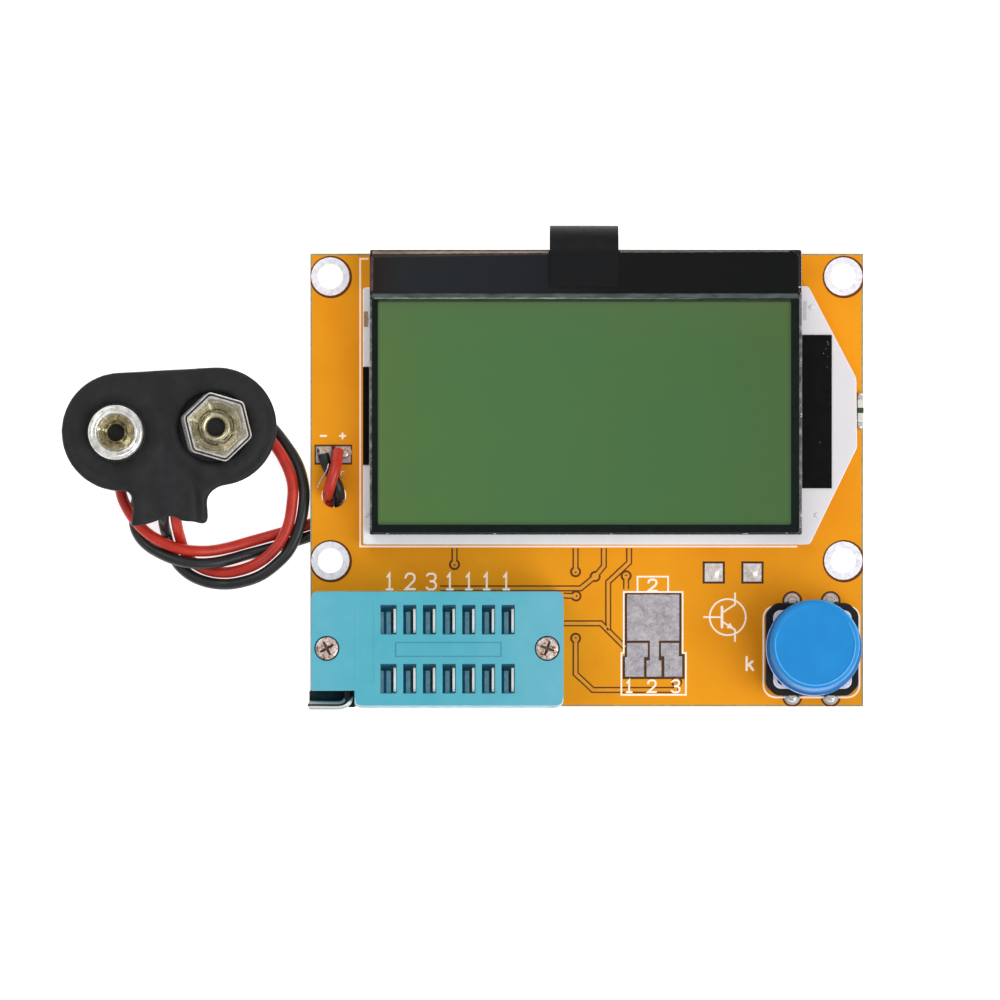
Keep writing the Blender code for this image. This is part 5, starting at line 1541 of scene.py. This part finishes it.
# =====================================================================  push button
housing = cad_box("switch_base")
HOUSING_HALF, HOUSING_CHAMFER = 6.0, 1.25
outline = []
for x_sign, y_sign in ((1, -1), (1, 1), (-1, 1), (-1, -1)):
    short = HOUSING_HALF - HOUSING_CHAMFER
    corner = [(BUTTON_X + x_sign * HOUSING_HALF, BUTTON_Y + y_sign * short),
              (BUTTON_X + x_sign * short, BUTTON_Y + y_sign * HOUSING_HALF)]
    outline += corner if x_sign * y_sign > 0 else corner[::-1]
mesh = prism(bmesh.new(), outline, housing.bottom, housing.top)
round_corners(mesh, 0.45)
obj = piece("button_housing", mesh, "black_plastic", replaces="switch_base")
mesh = washer(bmesh.new(), BUTTON_X, BUTTON_Y, 0, 3.4, 5.0, 8.0, 48)
for x in (BUTTON_X - 2.5, BUTTON_X + 2.5):  # channels over the terminals
    block(mesh, x - 0.55, x + 0.55, BUTTON_Y - 7, BUTTON_Y + 7, 3.0, 4.7)
cut(obj, mesh)
add_bevel(obj, 0.12, 2, angle=35)

# rivet heads, which end just below the cap where it is pressed
cap = cad_box("button_cap")
RIVET_OFFSET = 3.95
rivet_top = min(housing.top + 0.6, cap.bottom - 0.35 - 0.06)
profile = [(0, housing.top + 0.1), (0.62, housing.top + 0.1), (0.62, rivet_top - 0.12),
           (0.52, rivet_top - 0.02), (0, rivet_top)]
mesh = bmesh.new()
for x_sign in (-1, 1):
    for y_sign in (-1, 1):
        lathe(mesh, BUTTON_X + x_sign * RIVET_OFFSET, BUTTON_Y + y_sign * RIVET_OFFSET, profile, 28)
piece("button_housing_rivets", mesh, "black_plastic")

plate = cad_box("switch_cover_plate")
outer = rounded(*plate[:4], 1.0, 7)
hole = circle(BUTTON_X, BUTTON_Y, 2.75, len(outer))
piece("button_cover_plate",
      ring_solid(bmesh.new(), (outer, plate.bottom), (outer, plate.top), (hole, plate.top),
                 (hole, plate.bottom)),
      "cover_plate_steel", replaces="switch_cover_plate", bevel=0.07)
for side in ("left", "right"):
    repaint(f"switch_terminal_{side}", "tinned_lead", bevel=0.05)

# the dome: a thin shell curving down from its middle to its rim, attached to no body
dome = cad_box("switch_dome")
DOME_SKIN = 0.09
rim, drop = (dome.right - dome.left) / 2, dome.top - dome.bottom - DOME_SKIN
under, over = ([(rim * k / 12, top - drop * (k / 12) * (k / 12)) for k in range(13)]
               for top in (dome.top - DOME_SKIN, dome.top))
x, y = dome.middle
obj = piece("button_dome", lathe(bmesh.new(), x, y, under + over[::-1]), "cover_plate_steel",
            body=None, angle=60)
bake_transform(obj)
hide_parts("switch_dome")
repaint("switch_plunger", "black_plastic", bevel=0.12)

CAP_X, CAP_Y = BUTTON_X + 0.14, BUTTON_Y + 0.23
CAP_LEAN = 0.60                             # how far back the cap's top leans
flange, crown = cap.bottom, cap.top
cap_profile = [(0, flange + 2.5), (1.85, flange + 2.5), (1.85, flange), (5.95, flange)]
cap_profile += arc(5.98, flange + 0.25, 0.25, -90, 0, 4)[1:]
cap_profile += [(6.23, flange + 0.72)]
cap_profile += arc(5.98, flange + 0.72, 0.25, 0, 80, 4)[1:]
cap_profile += [(5.86, flange + 1.06), (5.76, flange + 1.40), (5.76, flange + 2.6),
                (5.74, crown - 0.95)]
cap_profile += arc(5.22, crown - 0.60, 0.52, 5, 82, 8)
cap_profile += [(5.16, crown - 0.070), (5.05, crown - 0.105), (4.90, crown - 0.115),
                (4.0, crown - 0.10), (2.0, crown - 0.09), (0, crown - 0.085)]


def cap_lean(z):
    """How far back the cap leans at a height; near the top it settles forward again."""
    lean = CAP_LEAN * min(1.0, max(0.0, (z - flange - 1.2) / (crown - flange - 2.0)))
    shoulder = crown - 0.95
    if z > shoulder:
        lean -= 0.18 * (z - shoulder) / 0.95
    return lean


mesh = lathe(bmesh.new(), CAP_X, CAP_Y, cap_profile, 96, lean=cap_lean)
# painted shade: the step over the flange is made darker
for face in mesh.faces:                     # the step over the flange is darker
    if flange + 0.9 < face.calc_center_median().z < flange + 2.1:
        face.material_index = 1
piece("button_cap_shell", mesh, ("blue_button", "blue_button_painted_shade"),
      body="button", replaces="button_cap", angle=50)


def cap_highlight_bead(name, radius, z, lean, start, end, thick, material):
    """A fine bead along part of a circle, thinning out at both ends, painted as a highlight arc."""
    path = [(x, y, z) for x, y in arc(CAP_X, CAP_Y + lean, radius, start, end, 64)]
    radii = [thick * (0.25 + 0.75 * math.sin(math.pi * i / 64) ** 0.5) for i in range(64)]
    radii.append(thick * 0.25)
    piece(name, tube(bmesh.new(), path, radii, 10), material, body="button",
          angle=60)


# painted highlights: pale beads along parts of the cap's rim, edge and flange
cap_highlight_bead("button_rim_highlight_bead", radius=5.17, z=crown - 0.075, lean=cap_lean(crown - 0.075),
         start=160, end=395, thick=0.088, material="blue_button_edge")
cap_highlight_bead("button_edge_highlight_bead", radius=5.70, z=crown - 0.70, lean=cap_lean(crown - 0.70),
         start=-55, end=58, thick=0.07, material="blue_button_edge")
cap_highlight_bead("button_flange_highlight_bead", radius=6.16, z=flange + 0.90, lean=0.0, start=148, end=285,
         thick=0.075, material="flange_pale_line")

# =====================================================================  under the board
UNDER_PARTS = {
    "microcontroller": "chip_epoxy", "voltage_regulator": "chip_epoxy",
    "voltage_reference": "chip_epoxy", "power_transistor": "chip_epoxy",
    "latch_transistor": "chip_epoxy", "tantalum_capacitor": "yellow_epoxy",
    "crystal": "polished_steel", "probe_resistor_low": "chip_epoxy",
    "probe_resistor_high": "chip_epoxy"}
for node, material in UNDER_PARTS.items():
    repaint(node, material, bevel=0.05)

micro = cad_box("microcontroller")
micro_x, micro_y = micro.middle
crystal_x, crystal_y = cad_box("crystal").middle
tantalum_x, tantalum_y = cad_box("tantalum_capacitor").middle
under_tracks = []
for i, x in enumerate(PIN_COLUMNS):         # one track to each rear pad of the socket
    start = micro_x - 2.7 + 0.9 * i
    under_tracks.append([(start, micro.front - 0.3), (start, micro.front - 1.2 - 0.25 * (6 - i)),
                         (x + 0.35, -15.4 - 0.25 * i), (x + 0.35, -17.1)])
for side in (-1.0, 1.0):
    under_tracks.append([(micro_x + side, micro.back + 0.3), (micro_x + side, micro.back + 1.5),
                         (crystal_x + 1.5 * side, crystal_y - 3.6),
                         (crystal_x + 1.5 * side, crystal_y - 2.0)])
left_pin, right_pin = SWITCH_PINS[1], SWITCH_PINS[3]
under_tracks += [
    [(micro.right + 0.3, micro_y + 1.0), (micro.right + 2.5, micro_y + 1.0),
     (tantalum_x - 3.2, tantalum_y - 0.5), (tantalum_x - 2.0, tantalum_y - 0.5)],
    [(micro.right + 0.3, micro_y - 1.0), (micro.right + 4.0, micro_y - 1.0),
     (left_pin[0], left_pin[1] + 4.5), (left_pin[0], left_pin[1] + 1.1)],
    [(right_pin[0], right_pin[1] + 1.1), (right_pin[0], right_pin[1] + 2.0), (29.2, -11.2),
     (29.2, 8.0), (tantalum_x + 3.4, tantalum_y + 0.6), (tantalum_x + 2.0, tantalum_y + 0.6)]]
UNDER_VIAS = [(12.6, -24.6), (15.4, -24.6), (-8.0, 21.0), (24.0, 24.0), (-22.0, -8.0),
              (6.0, -11.0), (-26.5, 12.0), (18.0, -3.0), (31.0, 22.5)]
lay_tracks("under_", underneath, under_tracks, UNDER_VIAS, widths=(0.70, 0.40),
           via_radii=(0.66, 0.45, 0.18), via_sides=28)

mesh = bmesh.new()
for node in ("microcontroller", "crystal", "tantalum_capacitor", "voltage_regulator",
             "voltage_reference", "power_transistor", "latch_transistor"):
    part = cad_box(node)
    outline = rounded(part.left - 0.55, part.right + 0.55, part.front - 0.55, part.back + 0.55,
                      0.4, 3)
    ribbon(mesh, outline, 0.18, *underneath(*ink()), closed=True)
piece("under_silk_outlines", mesh, "white_silk_ink")

# =====================================================================  battery snap: sheets
# the snap's own (x, y) frame: origin in its middle, x along it, the neck towards -y
SNAP_TO_BOARD = Matrix.Translation((-54.3, 6.6, 0)) @ Matrix.Rotation(math.radians(3.2), 4, "Z")
BOARD_TO_SNAP = SNAP_TO_BOARD.inverted()
WORLD_TO_BOARD = TO_WORLD.inverted()
SLEEVE_LENGTH, SLEEVE_WIDTH = 28.0, 15.4
TERMINALS = ((-6.9, -0.05), (5.8, -0.05))   # round stud, hexagonal socket


def on_snap(points):
    return [tuple((SNAP_TO_BOARD @ Vector((x, y, 0)))[:2]) for x, y in points]


STUD, SOCKET = on_snap(TERMINALS)


def stadium(length, width, straight=1):
    """Two half circles, with the rear straight between them cut into a number of steps."""
    radius, half = width / 2, length / 2 - width / 2
    return (arc(half, 0, radius, -90, 90, 30)
            + [(half - 2 * half * i / straight, radius) for i in range(1, straight)]
            + arc(-half, 0, radius, 90, 270, 30))


def smooth_outline(points, step):
    return [(p.x, p.y) for p in smooth_path([(x, y, 0) for x, y in points], step)]


def sleeve_outline():
    """The body with its wavy neck."""
    radius, half = SLEEVE_WIDTH / 2, SLEEVE_LENGTH / 2 - SLEEVE_WIDTH / 2
    neck = [(-half + 0.3, -radius), (-5.75, -radius - 0.12), (-5.40, -radius - 0.75),
            (-5.30, -radius - 2.2), (-5.42, -radius - 3.5),
            (-5.75, -12.10), (-5.35, -12.36), (-4.6, -12.32), (-3.34, -12.12), (-2.2, -11.80),
            (-1.1, -11.42), (-0.1, -11.28), (0.65, -11.80), (1.5, -12.10), (2.5, -12.17),
            (3.49, -12.52), (4.05, -12.42), (4.40, -12.05),
            (4.42, -11.0), (4.40, -9.6), (4.62, -8.9), (5.35, -8.2), (6.0, -7.85),
            (half + 0.5, -radius + 0.04)]
    return stadium(SLEEVE_LENGTH, SLEEVE_WIDTH, 16) + smooth_outline(neck, 0.3)


def rear_outline(length, width, half_neck, end):
    """The same body with a plain tab under the neck."""
    radius, half = width / 2, length / 2 - width / 2
    tab = [(-half + 0.3, -radius), (-half_neck - 0.6, -radius - 0.1), (-half_neck, -radius - 0.9),
           (-half_neck, end + 0.6), (-half_neck + 0.6, end), (half_neck - 1.6, end),
           (half_neck - 1.0, end + 0.6), (half_neck - 1.0, -radius - 0.9),
           (half_neck - 0.4, -radius - 0.1), (half - 0.3, -radius)]
    return stadium(length, width) + smooth_outline(tab, 0.4)


def soft_sheet(name, points, bottom, top, holes=None, voxel=0.33, smoothing=6):
    """A moulded sheet: the outline extruded, cut for the terminals, remeshed and relaxed."""
    obj = piece(name, prism(bmesh.new(), on_snap(points), bottom, top), "leathercloth",
                body=None)
    if holes:
        cut(obj, holes)
    mod = obj.modifiers.new("Remesh", "REMESH")
    mod.mode = "VOXEL"
    mod.voxel_size = voxel * MM
    mod.use_smooth_shade = True
    mod = obj.modifiers.new("Smooth", "SMOOTH")
    mod.factor = 0.5
    mod.iterations = smoothing
    apply_modifiers(obj)
    for face in obj.data.polygons:
        face.use_smooth = True
    return obj


def hill(distance, width):
    return math.exp(-(distance / width) ** 2)


def sleeve_lift(point, x, y):
    """How far the sleeve's face rises at a point of the board, (x, y) in the snap's frame."""
    # crumples
    lift = 0.10 * noise.noise(Vector((point.x * 0.35, point.y * 0.35, 3.0)))
    lift += 0.05 * noise.noise(Vector((point.x * 1.1, point.y * 1.1, 9.0)))
    # a pressed valley where the body turns into the neck
    lift -= 0.16 * hill(y + 6.9, 0.7) * max(0.0, 1 - abs(x) / 6.5)
    # ridges and a furrow along the neck: height, place, width
    in_neck = 1 / (1 + math.exp((y + 7.9) * 4))
    for height, place, width in ((0.34, 3.75, 0.38), (-0.20, 3.0, 0.30), (0.22, -4.4, 0.9),
                                 (0.16, -0.6, 1.6)):
        lift += height * hill(x - place, width) * in_neck
    # a welt round the body's edge
    if y > -6.5:
        from_edge = 7.7 - math.hypot(max(0, abs(x) - 6.3), y)
        lift += 0.10 * hill(from_edge - 0.55, 0.28) - 0.08 * hill(from_edge - 1.15, 0.3)
    for terminal_x, terminal_y in TERMINALS:
        lift += 0.16 * hill(math.hypot(x - terminal_x, y - terminal_y) - 5.4, 1.0)
    return lift


holes = bmesh.new()
lathe(holes, *STUD, [(0, 5.0), (3.74, 5.0), (3.70, 8.0), (0, 8.0)])
lathe(holes, *SOCKET, [(0, 5.0), (4.74, 5.0), (4.70, 8.0), (0, 8.0)])
sleeve = soft_sheet("snap_front_sleeve", sleeve_outline(), 4.95, 6.4, holes)
for vert in sleeve.data.vertices:
    point = WORLD_TO_BOARD @ vert.co
    if point.z > 5.9:
        place = BOARD_TO_SNAP @ Vector((point.x, point.y, 0))
        vert.co.z += sleeve_lift(point, place.x, place.y) * MM
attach(sleeve, "snap")
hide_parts("snap_cover")

# the sleeve's side wall
outer, inner = on_snap(stadium(27.9, 15.3, 16)), on_snap(stadium(25.0, 12.4, 16))
piece("snap_sleeve_rim",
      ring_solid(bmesh.new(), (outer, 4.0), (outer, 5.1), (inner, 5.1), (inner, 4.0)),
      "leathercloth", body="snap", bevel=0.15)
back = cad_box("snap_back")
rear_sheet = soft_sheet("snap_rear_sheet", rear_outline(27.6, 15.0, half_neck=5.2, end=-10.6),
                        back.bottom, back.top, voxel=0.3, smoothing=2)
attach(rear_sheet, "snap")
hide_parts("snap_back")
repaint("snap_board", "fibre_board", bevel=0.06)
mesh = bmesh.new()
lathe(mesh, *SOCKET, [(3.9, 4.99), (5.3, 4.99), (5.3, 5.14), (5.1, 5.20), (3.9, 5.20)], 64)
lathe(mesh, *STUD, [(3.3, 4.99), (4.2, 4.99), (4.2, 5.10), (4.05, 5.14), (3.3, 5.14)], 64)
piece("snap_sleeve_lining", mesh, "leathercloth", body="snap", angle=40)


# =====================================================================  battery snap: terminals
def petals(centre, count, start, wall, tip, top, tip_z, spread, thick):
    """Curved spring tongues round a centre.

    wall and tip are radii, top and tip_z heights, spread half a tongue's angle.
    """
    mesh = bmesh.new()
    for k in range(count):
        middle = start + k * 2 * math.pi / count
        rings = []
        for step in range(9):
            t = step / 8
            radius = wall + (tip - wall) * (0.25 * t + 0.75 * math.sin(t * math.pi / 2) ** 1.5)
            z = top + (tip_z - top) * t ** 1.15
            half = spread * (1 - 0.10 * t)
            if t > 0.8:
                half *= 1 - 0.5 * (t - 0.8) / 0.2
            row = [(radius + 0.03 * abs(side), middle + side * half, z + 0.02 * abs(side))
                   for side in (-1, -0.5, 0, 0.5, 1)]
            row += [(reach + thick, turn, height) for reach, turn, height in reversed(row)]
            rings.append([mesh.verts.new((centre[0] + reach * math.cos(turn),
                                          centre[1] + reach * math.sin(turn), height))
                          for reach, turn, height in row])
        skin(mesh, rings)
    return mesh


# round terminal: a spun shell with a rolled lip, round a brass well of sprung petals
profile = [(2.3, 5.06), (3.40, 5.06)] + arc(3.40, 5.22, 0.16, -90, 80, 5)[1:]
profile += [(3.05, 5.46), (2.86, 5.75), (2.80, 6.6), (2.84, 7.4), (2.98, 7.85)]
profile += arc(3.20, 8.30, 0.36, -60, 90, 9) + [(3.02, 8.60), (2.90, 8.52), (2.84, 8.40)]
profile += arc(2.66, 8.36, 0.20, 20, 180, 7) + [(2.44, 7.9), (2.42, 7.2), (2.36, 6.2)]
piece("stud_shell", lathe(bmesh.new(), *STUD, profile, 72), "nickel_plate",
      body="snap", replaces="snap_stud", angle=60)
profile = [(1.06, 4.1), (1.22, 4.1), (1.22, 5.6), (2.34, 5.75), (2.34, 6.2), (1.9, 6.05),
           (1.6, 6.15), (1.40, 6.45), (1.24, 6.50), (1.06, 6.3)]
piece("stud_well", lathe(bmesh.new(), *STUD, profile), "brass_inside",
      body="snap", angle=50)
piece("stud_petals",
      petals(STUD, count=8, start=0.2, wall=2.22, tip=1.34, top=7.95, tip_z=6.62, spread=0.33,
             thick=0.14),
      "brass_inside", body="snap", bevel=0.03, segments=1, angle=50)

# hexagonal terminal: folded double walls round sprung leaves
HEX_TURN = math.radians(-16.2)
HEX_CORNER, HEX_STEPS = 0.10, 6             # share of a side that each corner takes, its steps
# corner radius, z, shift in x: up the outer wall, over the fold, down the inner wall
HEX_SECTION = [
    (4.40, 5.08, 0), (4.55, 5.20, 0), (4.55, 7.0, 0.30), (4.60, 8.45, 0.54), (4.68, 8.62, 0.58),
    (4.68, 8.80, 0.60), (4.61, 8.90, 0.60), (4.53, 8.90, 0.60), (4.46, 8.80, 0.60),
    (4.42, 8.35, 0.58), (4.28, 8.35, 0.58), (4.23, 8.80, 0.60), (4.14, 8.90, 0.60),
    (4.02, 8.90, 0.60), (3.94, 8.80, 0.60), (3.88, 8.55, 0.56), (3.84, 7.5, 0.38),
    (3.82, 6.1, 0.12), (3.84, 5.5, 0), (3.84, 5.3, 0)]


def hexagon(radius, shift):
    """A hexagon with softened corners round the socket."""
    corners = [Vector((math.cos(turn), math.sin(turn)))
               for turn in (HEX_TURN + k * math.pi / 3 for k in range(6))]
    points = []
    for k, corner in enumerate(corners):
        before, after = corners[k - 1], corners[(k + 1) % 6]
        for j in range(HEX_STEPS + 1):
            t = j / HEX_STEPS
            arriving = corner + (before - corner) * HEX_CORNER * (1 - t)
            leaving = corner + (after - corner) * HEX_CORNER * t
            point = arriving * (1 - t) + leaving * t
            points.append((SOCKET[0] + shift + radius * point.x, SOCKET[1] + radius * point.y))
    return points


mesh = ring_solid(bmesh.new(), *[(hexagon(radius, shift), z) for radius, z, shift in HEX_SECTION])
mesh.faces.ensure_lookup_table()
per_ring = 6 * (HEX_STEPS + 1)
for face in mesh.faces[8 * per_ring:11 * per_ring]:   # the fold between the two walls
    face.material_index = 1
piece("socket_hexagon", mesh, ("nickel_plate", "nickel_fold_shadow"),
      body="snap", replaces="snap_socket", angle=32)
piece("socket_leaves",
      petals((SOCKET[0] + 0.34, SOCKET[1]), count=6, start=HEX_TURN + math.pi / 6, wall=3.18,
             tip=2.02, top=8.35, tip_z=6.3, spread=0.43, thick=0.16),
      "plated_spring_leaf", body="snap", bevel=0.03, segments=1, angle=50)
profile = [(1.10, 4.1), (1.35, 4.1), (1.35, 5.30), (3.75, 5.34), (3.75, 5.55), (2.6, 5.60),
           (2.1, 5.85), (1.8, 6.15), (1.5, 6.15), (1.25, 5.9), (1.10, 5.6)]
piece("socket_eyelet", lathe(bmesh.new(), SOCKET[0] + 0.28, SOCKET[1], profile), "brass_inside",
      body="snap", angle=50)

# =====================================================================  leads
# (x, y, z) from the snap, round a coil, through the board's hole and on to the pads
LEADS = {
    "red": [
        (-53.5, -2.5, 4.8), (-53.5, -4.6, 4.5), (-53.3, -6.2, 3.15), (-53.0, -7.6, 1.5),
        (-52.5, -9.2, 0.85), (-51.4, -10.7, 0.78), (-49.4, -11.75, 0.75), (-47.2, -12.05, 0.8),
        (-45.2, -11.75, 1.5), (-43.2, -11.0, 2.25), (-41.4, -9.75, 2.3), (-39.9, -8.0, 2.3),
        (-38.9, -5.8, 2.3), (-38.45, -3.3, 2.3), (-38.35, -0.5, 2.3), (-39.4, 2.5, 2.3),
        (-41.5, 5.5, 2.3), (-45.5, 8.6, 2.3), (-50.5, 9.9, 2.3), (-55.5, 9.2, 2.3),
        (-59.4, 6.0, 2.3), (-61.1, 1.8, 2.3), (-60.7, -1.6, 2.3), (-60.0, -3.5, 2.3),
        (-58.9, -5.2, 2.35), (-57.3, -6.85, 2.45), (-55.3, -8.1, 2.6), (-53.1, -8.95, 2.55),
        (-50.9, -9.25, 2.4), (-48.8, -9.2, 1.9), (-46.5, -8.75, 1.2), (-44.2, -8.1, 0.84),
        (-41.0, -7.2, 0.77), (-37.8, -6.3, 0.75), (-35.4, -5.45, 0.75), (-34.1, -4.5, 0.75),
        (-33.72, -3.3, 0.85), (-33.7, -2.3, 1.75), (-33.7, -2.0, 3.0), (-33.7, -1.75, 4.6),
        (-33.5, -1.1, 5.8), (-33.05, 0.4, 6.2), (-32.62, 1.9, 5.9), (-32.42, 3.05, 5.05),
        (-32.38, 3.72, 4.45)],
    "black": [
        (-55.1, -2.5, 4.8), (-55.1, -4.6, 4.5), (-55.05, -5.8, 2.95), (-54.85, -6.9, 1.2),
        (-54.5, -8.3, 0.85), (-53.5, -10.7, 0.78), (-51.8, -12.35, 0.75), (-49.6, -13.3, 0.75),
        (-47.2, -13.6, 0.85), (-44.9, -13.3, 1.6), (-42.6, -12.5, 2.25), (-40.6, -11.1, 2.3),
        (-38.8, -9.2, 2.3), (-37.6, -6.6, 2.3), (-36.95, -3.8, 2.3), (-36.86, -1.0, 1.9),
        (-37.65, 2.0, 1.4), (-39.3, 4.7, 1.0), (-41.4, 7.2, 0.75), (-44.5, 9.4, 0.75),
        (-48.5, 10.4, 0.75), (-52.8, 8.6, 0.75), (-55.8, 4.4, 0.75), (-57.6, 0.4, 0.75),
        (-58.8, -3.0, 0.75), (-59.0, -5.6, 0.75), (-58.4, -7.3, 0.8), (-57.2, -8.6, 1.2),
        (-55.7, -9.5, 1.9), (-54.1, -10.2, 2.4), (-52.3, -10.7, 2.5), (-50.3, -10.9, 2.45),
        (-48.3, -10.75, 2.2), (-46.3, -10.3, 1.5), (-44.4, -9.75, 0.88), (-42.5, -9.25, 0.77),
        (-40.3, -8.65, 0.75), (-37.8, -7.9, 0.75), (-35.4, -7.1, 0.75), (-33.3, -6.1, 0.75),
        (-32.3, -4.6, 0.75), (-32.2, -3.3, 0.85), (-32.2, -2.3, 1.75), (-32.2, -2.0, 3.0),
        (-32.2, -1.75, 3.85), (-32.45, -0.7, 4.42), (-33.4, 1.0, 4.45), (-34.1, 2.6, 4.42),
        (-34.3, 3.4, 4.40)],
}
LEAD_RADIUS = 0.725


def wire(path, radius, count=10):
    return tube(bmesh.new(), path, [radius] * len(path), count)


for colour, points in LEADS.items():
    lead = piece(f"{colour}_lead", wire(smooth_path(points, 0.4), LEAD_RADIUS, 24),
                 f"{colour}_insulation", body=None, angle=60)
    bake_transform(lead)
    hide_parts(f"{colour}_wire")

# a dark block between the two leads in the hole they share
piece("lead_hole_dark_block",
      prism(bmesh.new(), rounded(-33.08, -32.82, -3.45, -1.2, 0.06, 2), LOW + 0.2, TOP - 0.25),
      "black_insulation")
strand = [(-33.58, 2.10, 5.36), (-33.78, 1.35, 5.50), (-34.35, 0.35, 5.15), (-34.80, -0.45, 4.50),
          (-35.05, -0.95, 3.95)]
piece("lead_stray_strand", wire(smooth_path(strand, 0.15), 0.11), "tinned_lead",
      angle=60)
curl = [(-31.72 + 0.36 * math.cos(math.radians(degrees)),
         0.72 + 0.44 * math.sin(math.radians(degrees)),
         TOP + 0.14 + 0.0006 * (degrees - 60)) for degrees in range(60, 301, 12)]
piece("lead_stray_curl", wire(curl, 0.08), "tinned_lead", angle=60)

# battery pads: a dark outline in painted shadow, tinned squares and the solder over the stripped ends
piece("battery_pad_shadow_outline", block(bmesh.new(), -35.45, -30.55, 2.0, 4.62, *on_top(0.003, 0.012)),
      "mask_step_shadow")
for number, x, joint_shift in ((1, -34.25, -0.1), (2, -31.75, 0.25)):
    pad = rounded(x - 1.02, x + 1.02, 2.25, 4.38, 0.12, 2)
    piece(f"battery_pad_{number}", prism(bmesh.new(), pad, *on_top(0.006, 0.08)),
          "tinned_copper", bevel=0.03)
    joint = fillet(bmesh.new(), x + joint_shift, 3.55, 0.86, TOP + 0.07, 0.62, tip=0.42,
                   lean=-0.1, wobble=0.10)
    piece(f"battery_joint_{number}", joint, "solder_fillet", angle=60)

# =====================================================================  stage
FLOOR_HALF, FLOOR_STEPS = 1600.0, 24
ticks = [-FLOOR_HALF + 2 * FLOOR_HALF * i / FLOOR_STEPS for i in range(FLOOR_STEPS + 1)]
mesh = bmesh.new()
grid = [[mesh.verts.new((x, y, -0.02)) for y in ticks] for x in ticks]
for i in range(FLOOR_STEPS):
    for j in range(FLOOR_STEPS):
        mesh.faces.new((grid[i][j], grid[i + 1][j], grid[i + 1][j + 1], grid[i][j + 1]))
floor = to_object("floor", mesh)
look = Look("pale_floor")
look.shade(base_color=look.ramp(look.noise(size_mm=60, detail=2, roughness=0.5),
                                (0.3, (0.90, 0.90, 0.90)), (0.7, (0.93, 0.93, 0.93))),
           roughness=0.9, specular_ior_level=0.0, emission_color=(1, 1, 1),
           emission_strength=0.78)
floor.data.materials.append(MATERIALS["pale_floor"])

scene = bpy.context.scene
world = bpy.data.worlds.new("studio")
scene.world = world
world.use_nodes = True
background = world.node_tree.nodes["Background"]
background.inputs["Color"].default_value = (1.0, 1.0, 1.0, 1)
background.inputs["Strength"].default_value = 0.50

VIEW_X, VIEW_Y = -11.30, -2.60              # what the lights and the camera point at


def area_light(name, offset, size, watts):
    """A disc light, offset in metres from the point it shines on."""
    light = bpy.data.lights.new(name, "AREA")
    light.energy = watts
    light.shape = "DISK"
    light.size = size
    obj = bpy.data.objects.new(name, light)
    scene.collection.objects.link(obj)
    target = to_world(VIEW_X, VIEW_Y)
    location = target + Vector(offset)
    obj.location = location
    obj.rotation_euler = (target - location).to_track_quat("-Z", "Y").to_euler()


area_light("key", offset=(0.55, -0.28, 0.70), size=0.80, watts=5.1)
area_light("fill", offset=(-0.45, 0.55, 0.80), size=0.7, watts=2.2)

# the camera looks straight down; sizes in metres, the lens and sensor in mm
CAMERA_HEIGHT, VIEW_WIDTH, SENSOR = 1.25, 0.1302, 36.0
lens = bpy.data.cameras.new("camera")
camera = bpy.data.objects.new("camera", lens)
scene.collection.objects.link(camera)
camera.location = to_world(VIEW_X, VIEW_Y, TOP) + Vector((0, 0, CAMERA_HEIGHT))
lens.sensor_width = SENSOR
lens.sensor_fit = "HORIZONTAL"
lens.lens = SENSOR * CAMERA_HEIGHT / VIEW_WIDTH
lens.clip_start = 0.05
lens.clip_end = 20
scene.camera = camera
scene.view_settings.view_transform = "Standard"
scene.view_settings.look = "None"
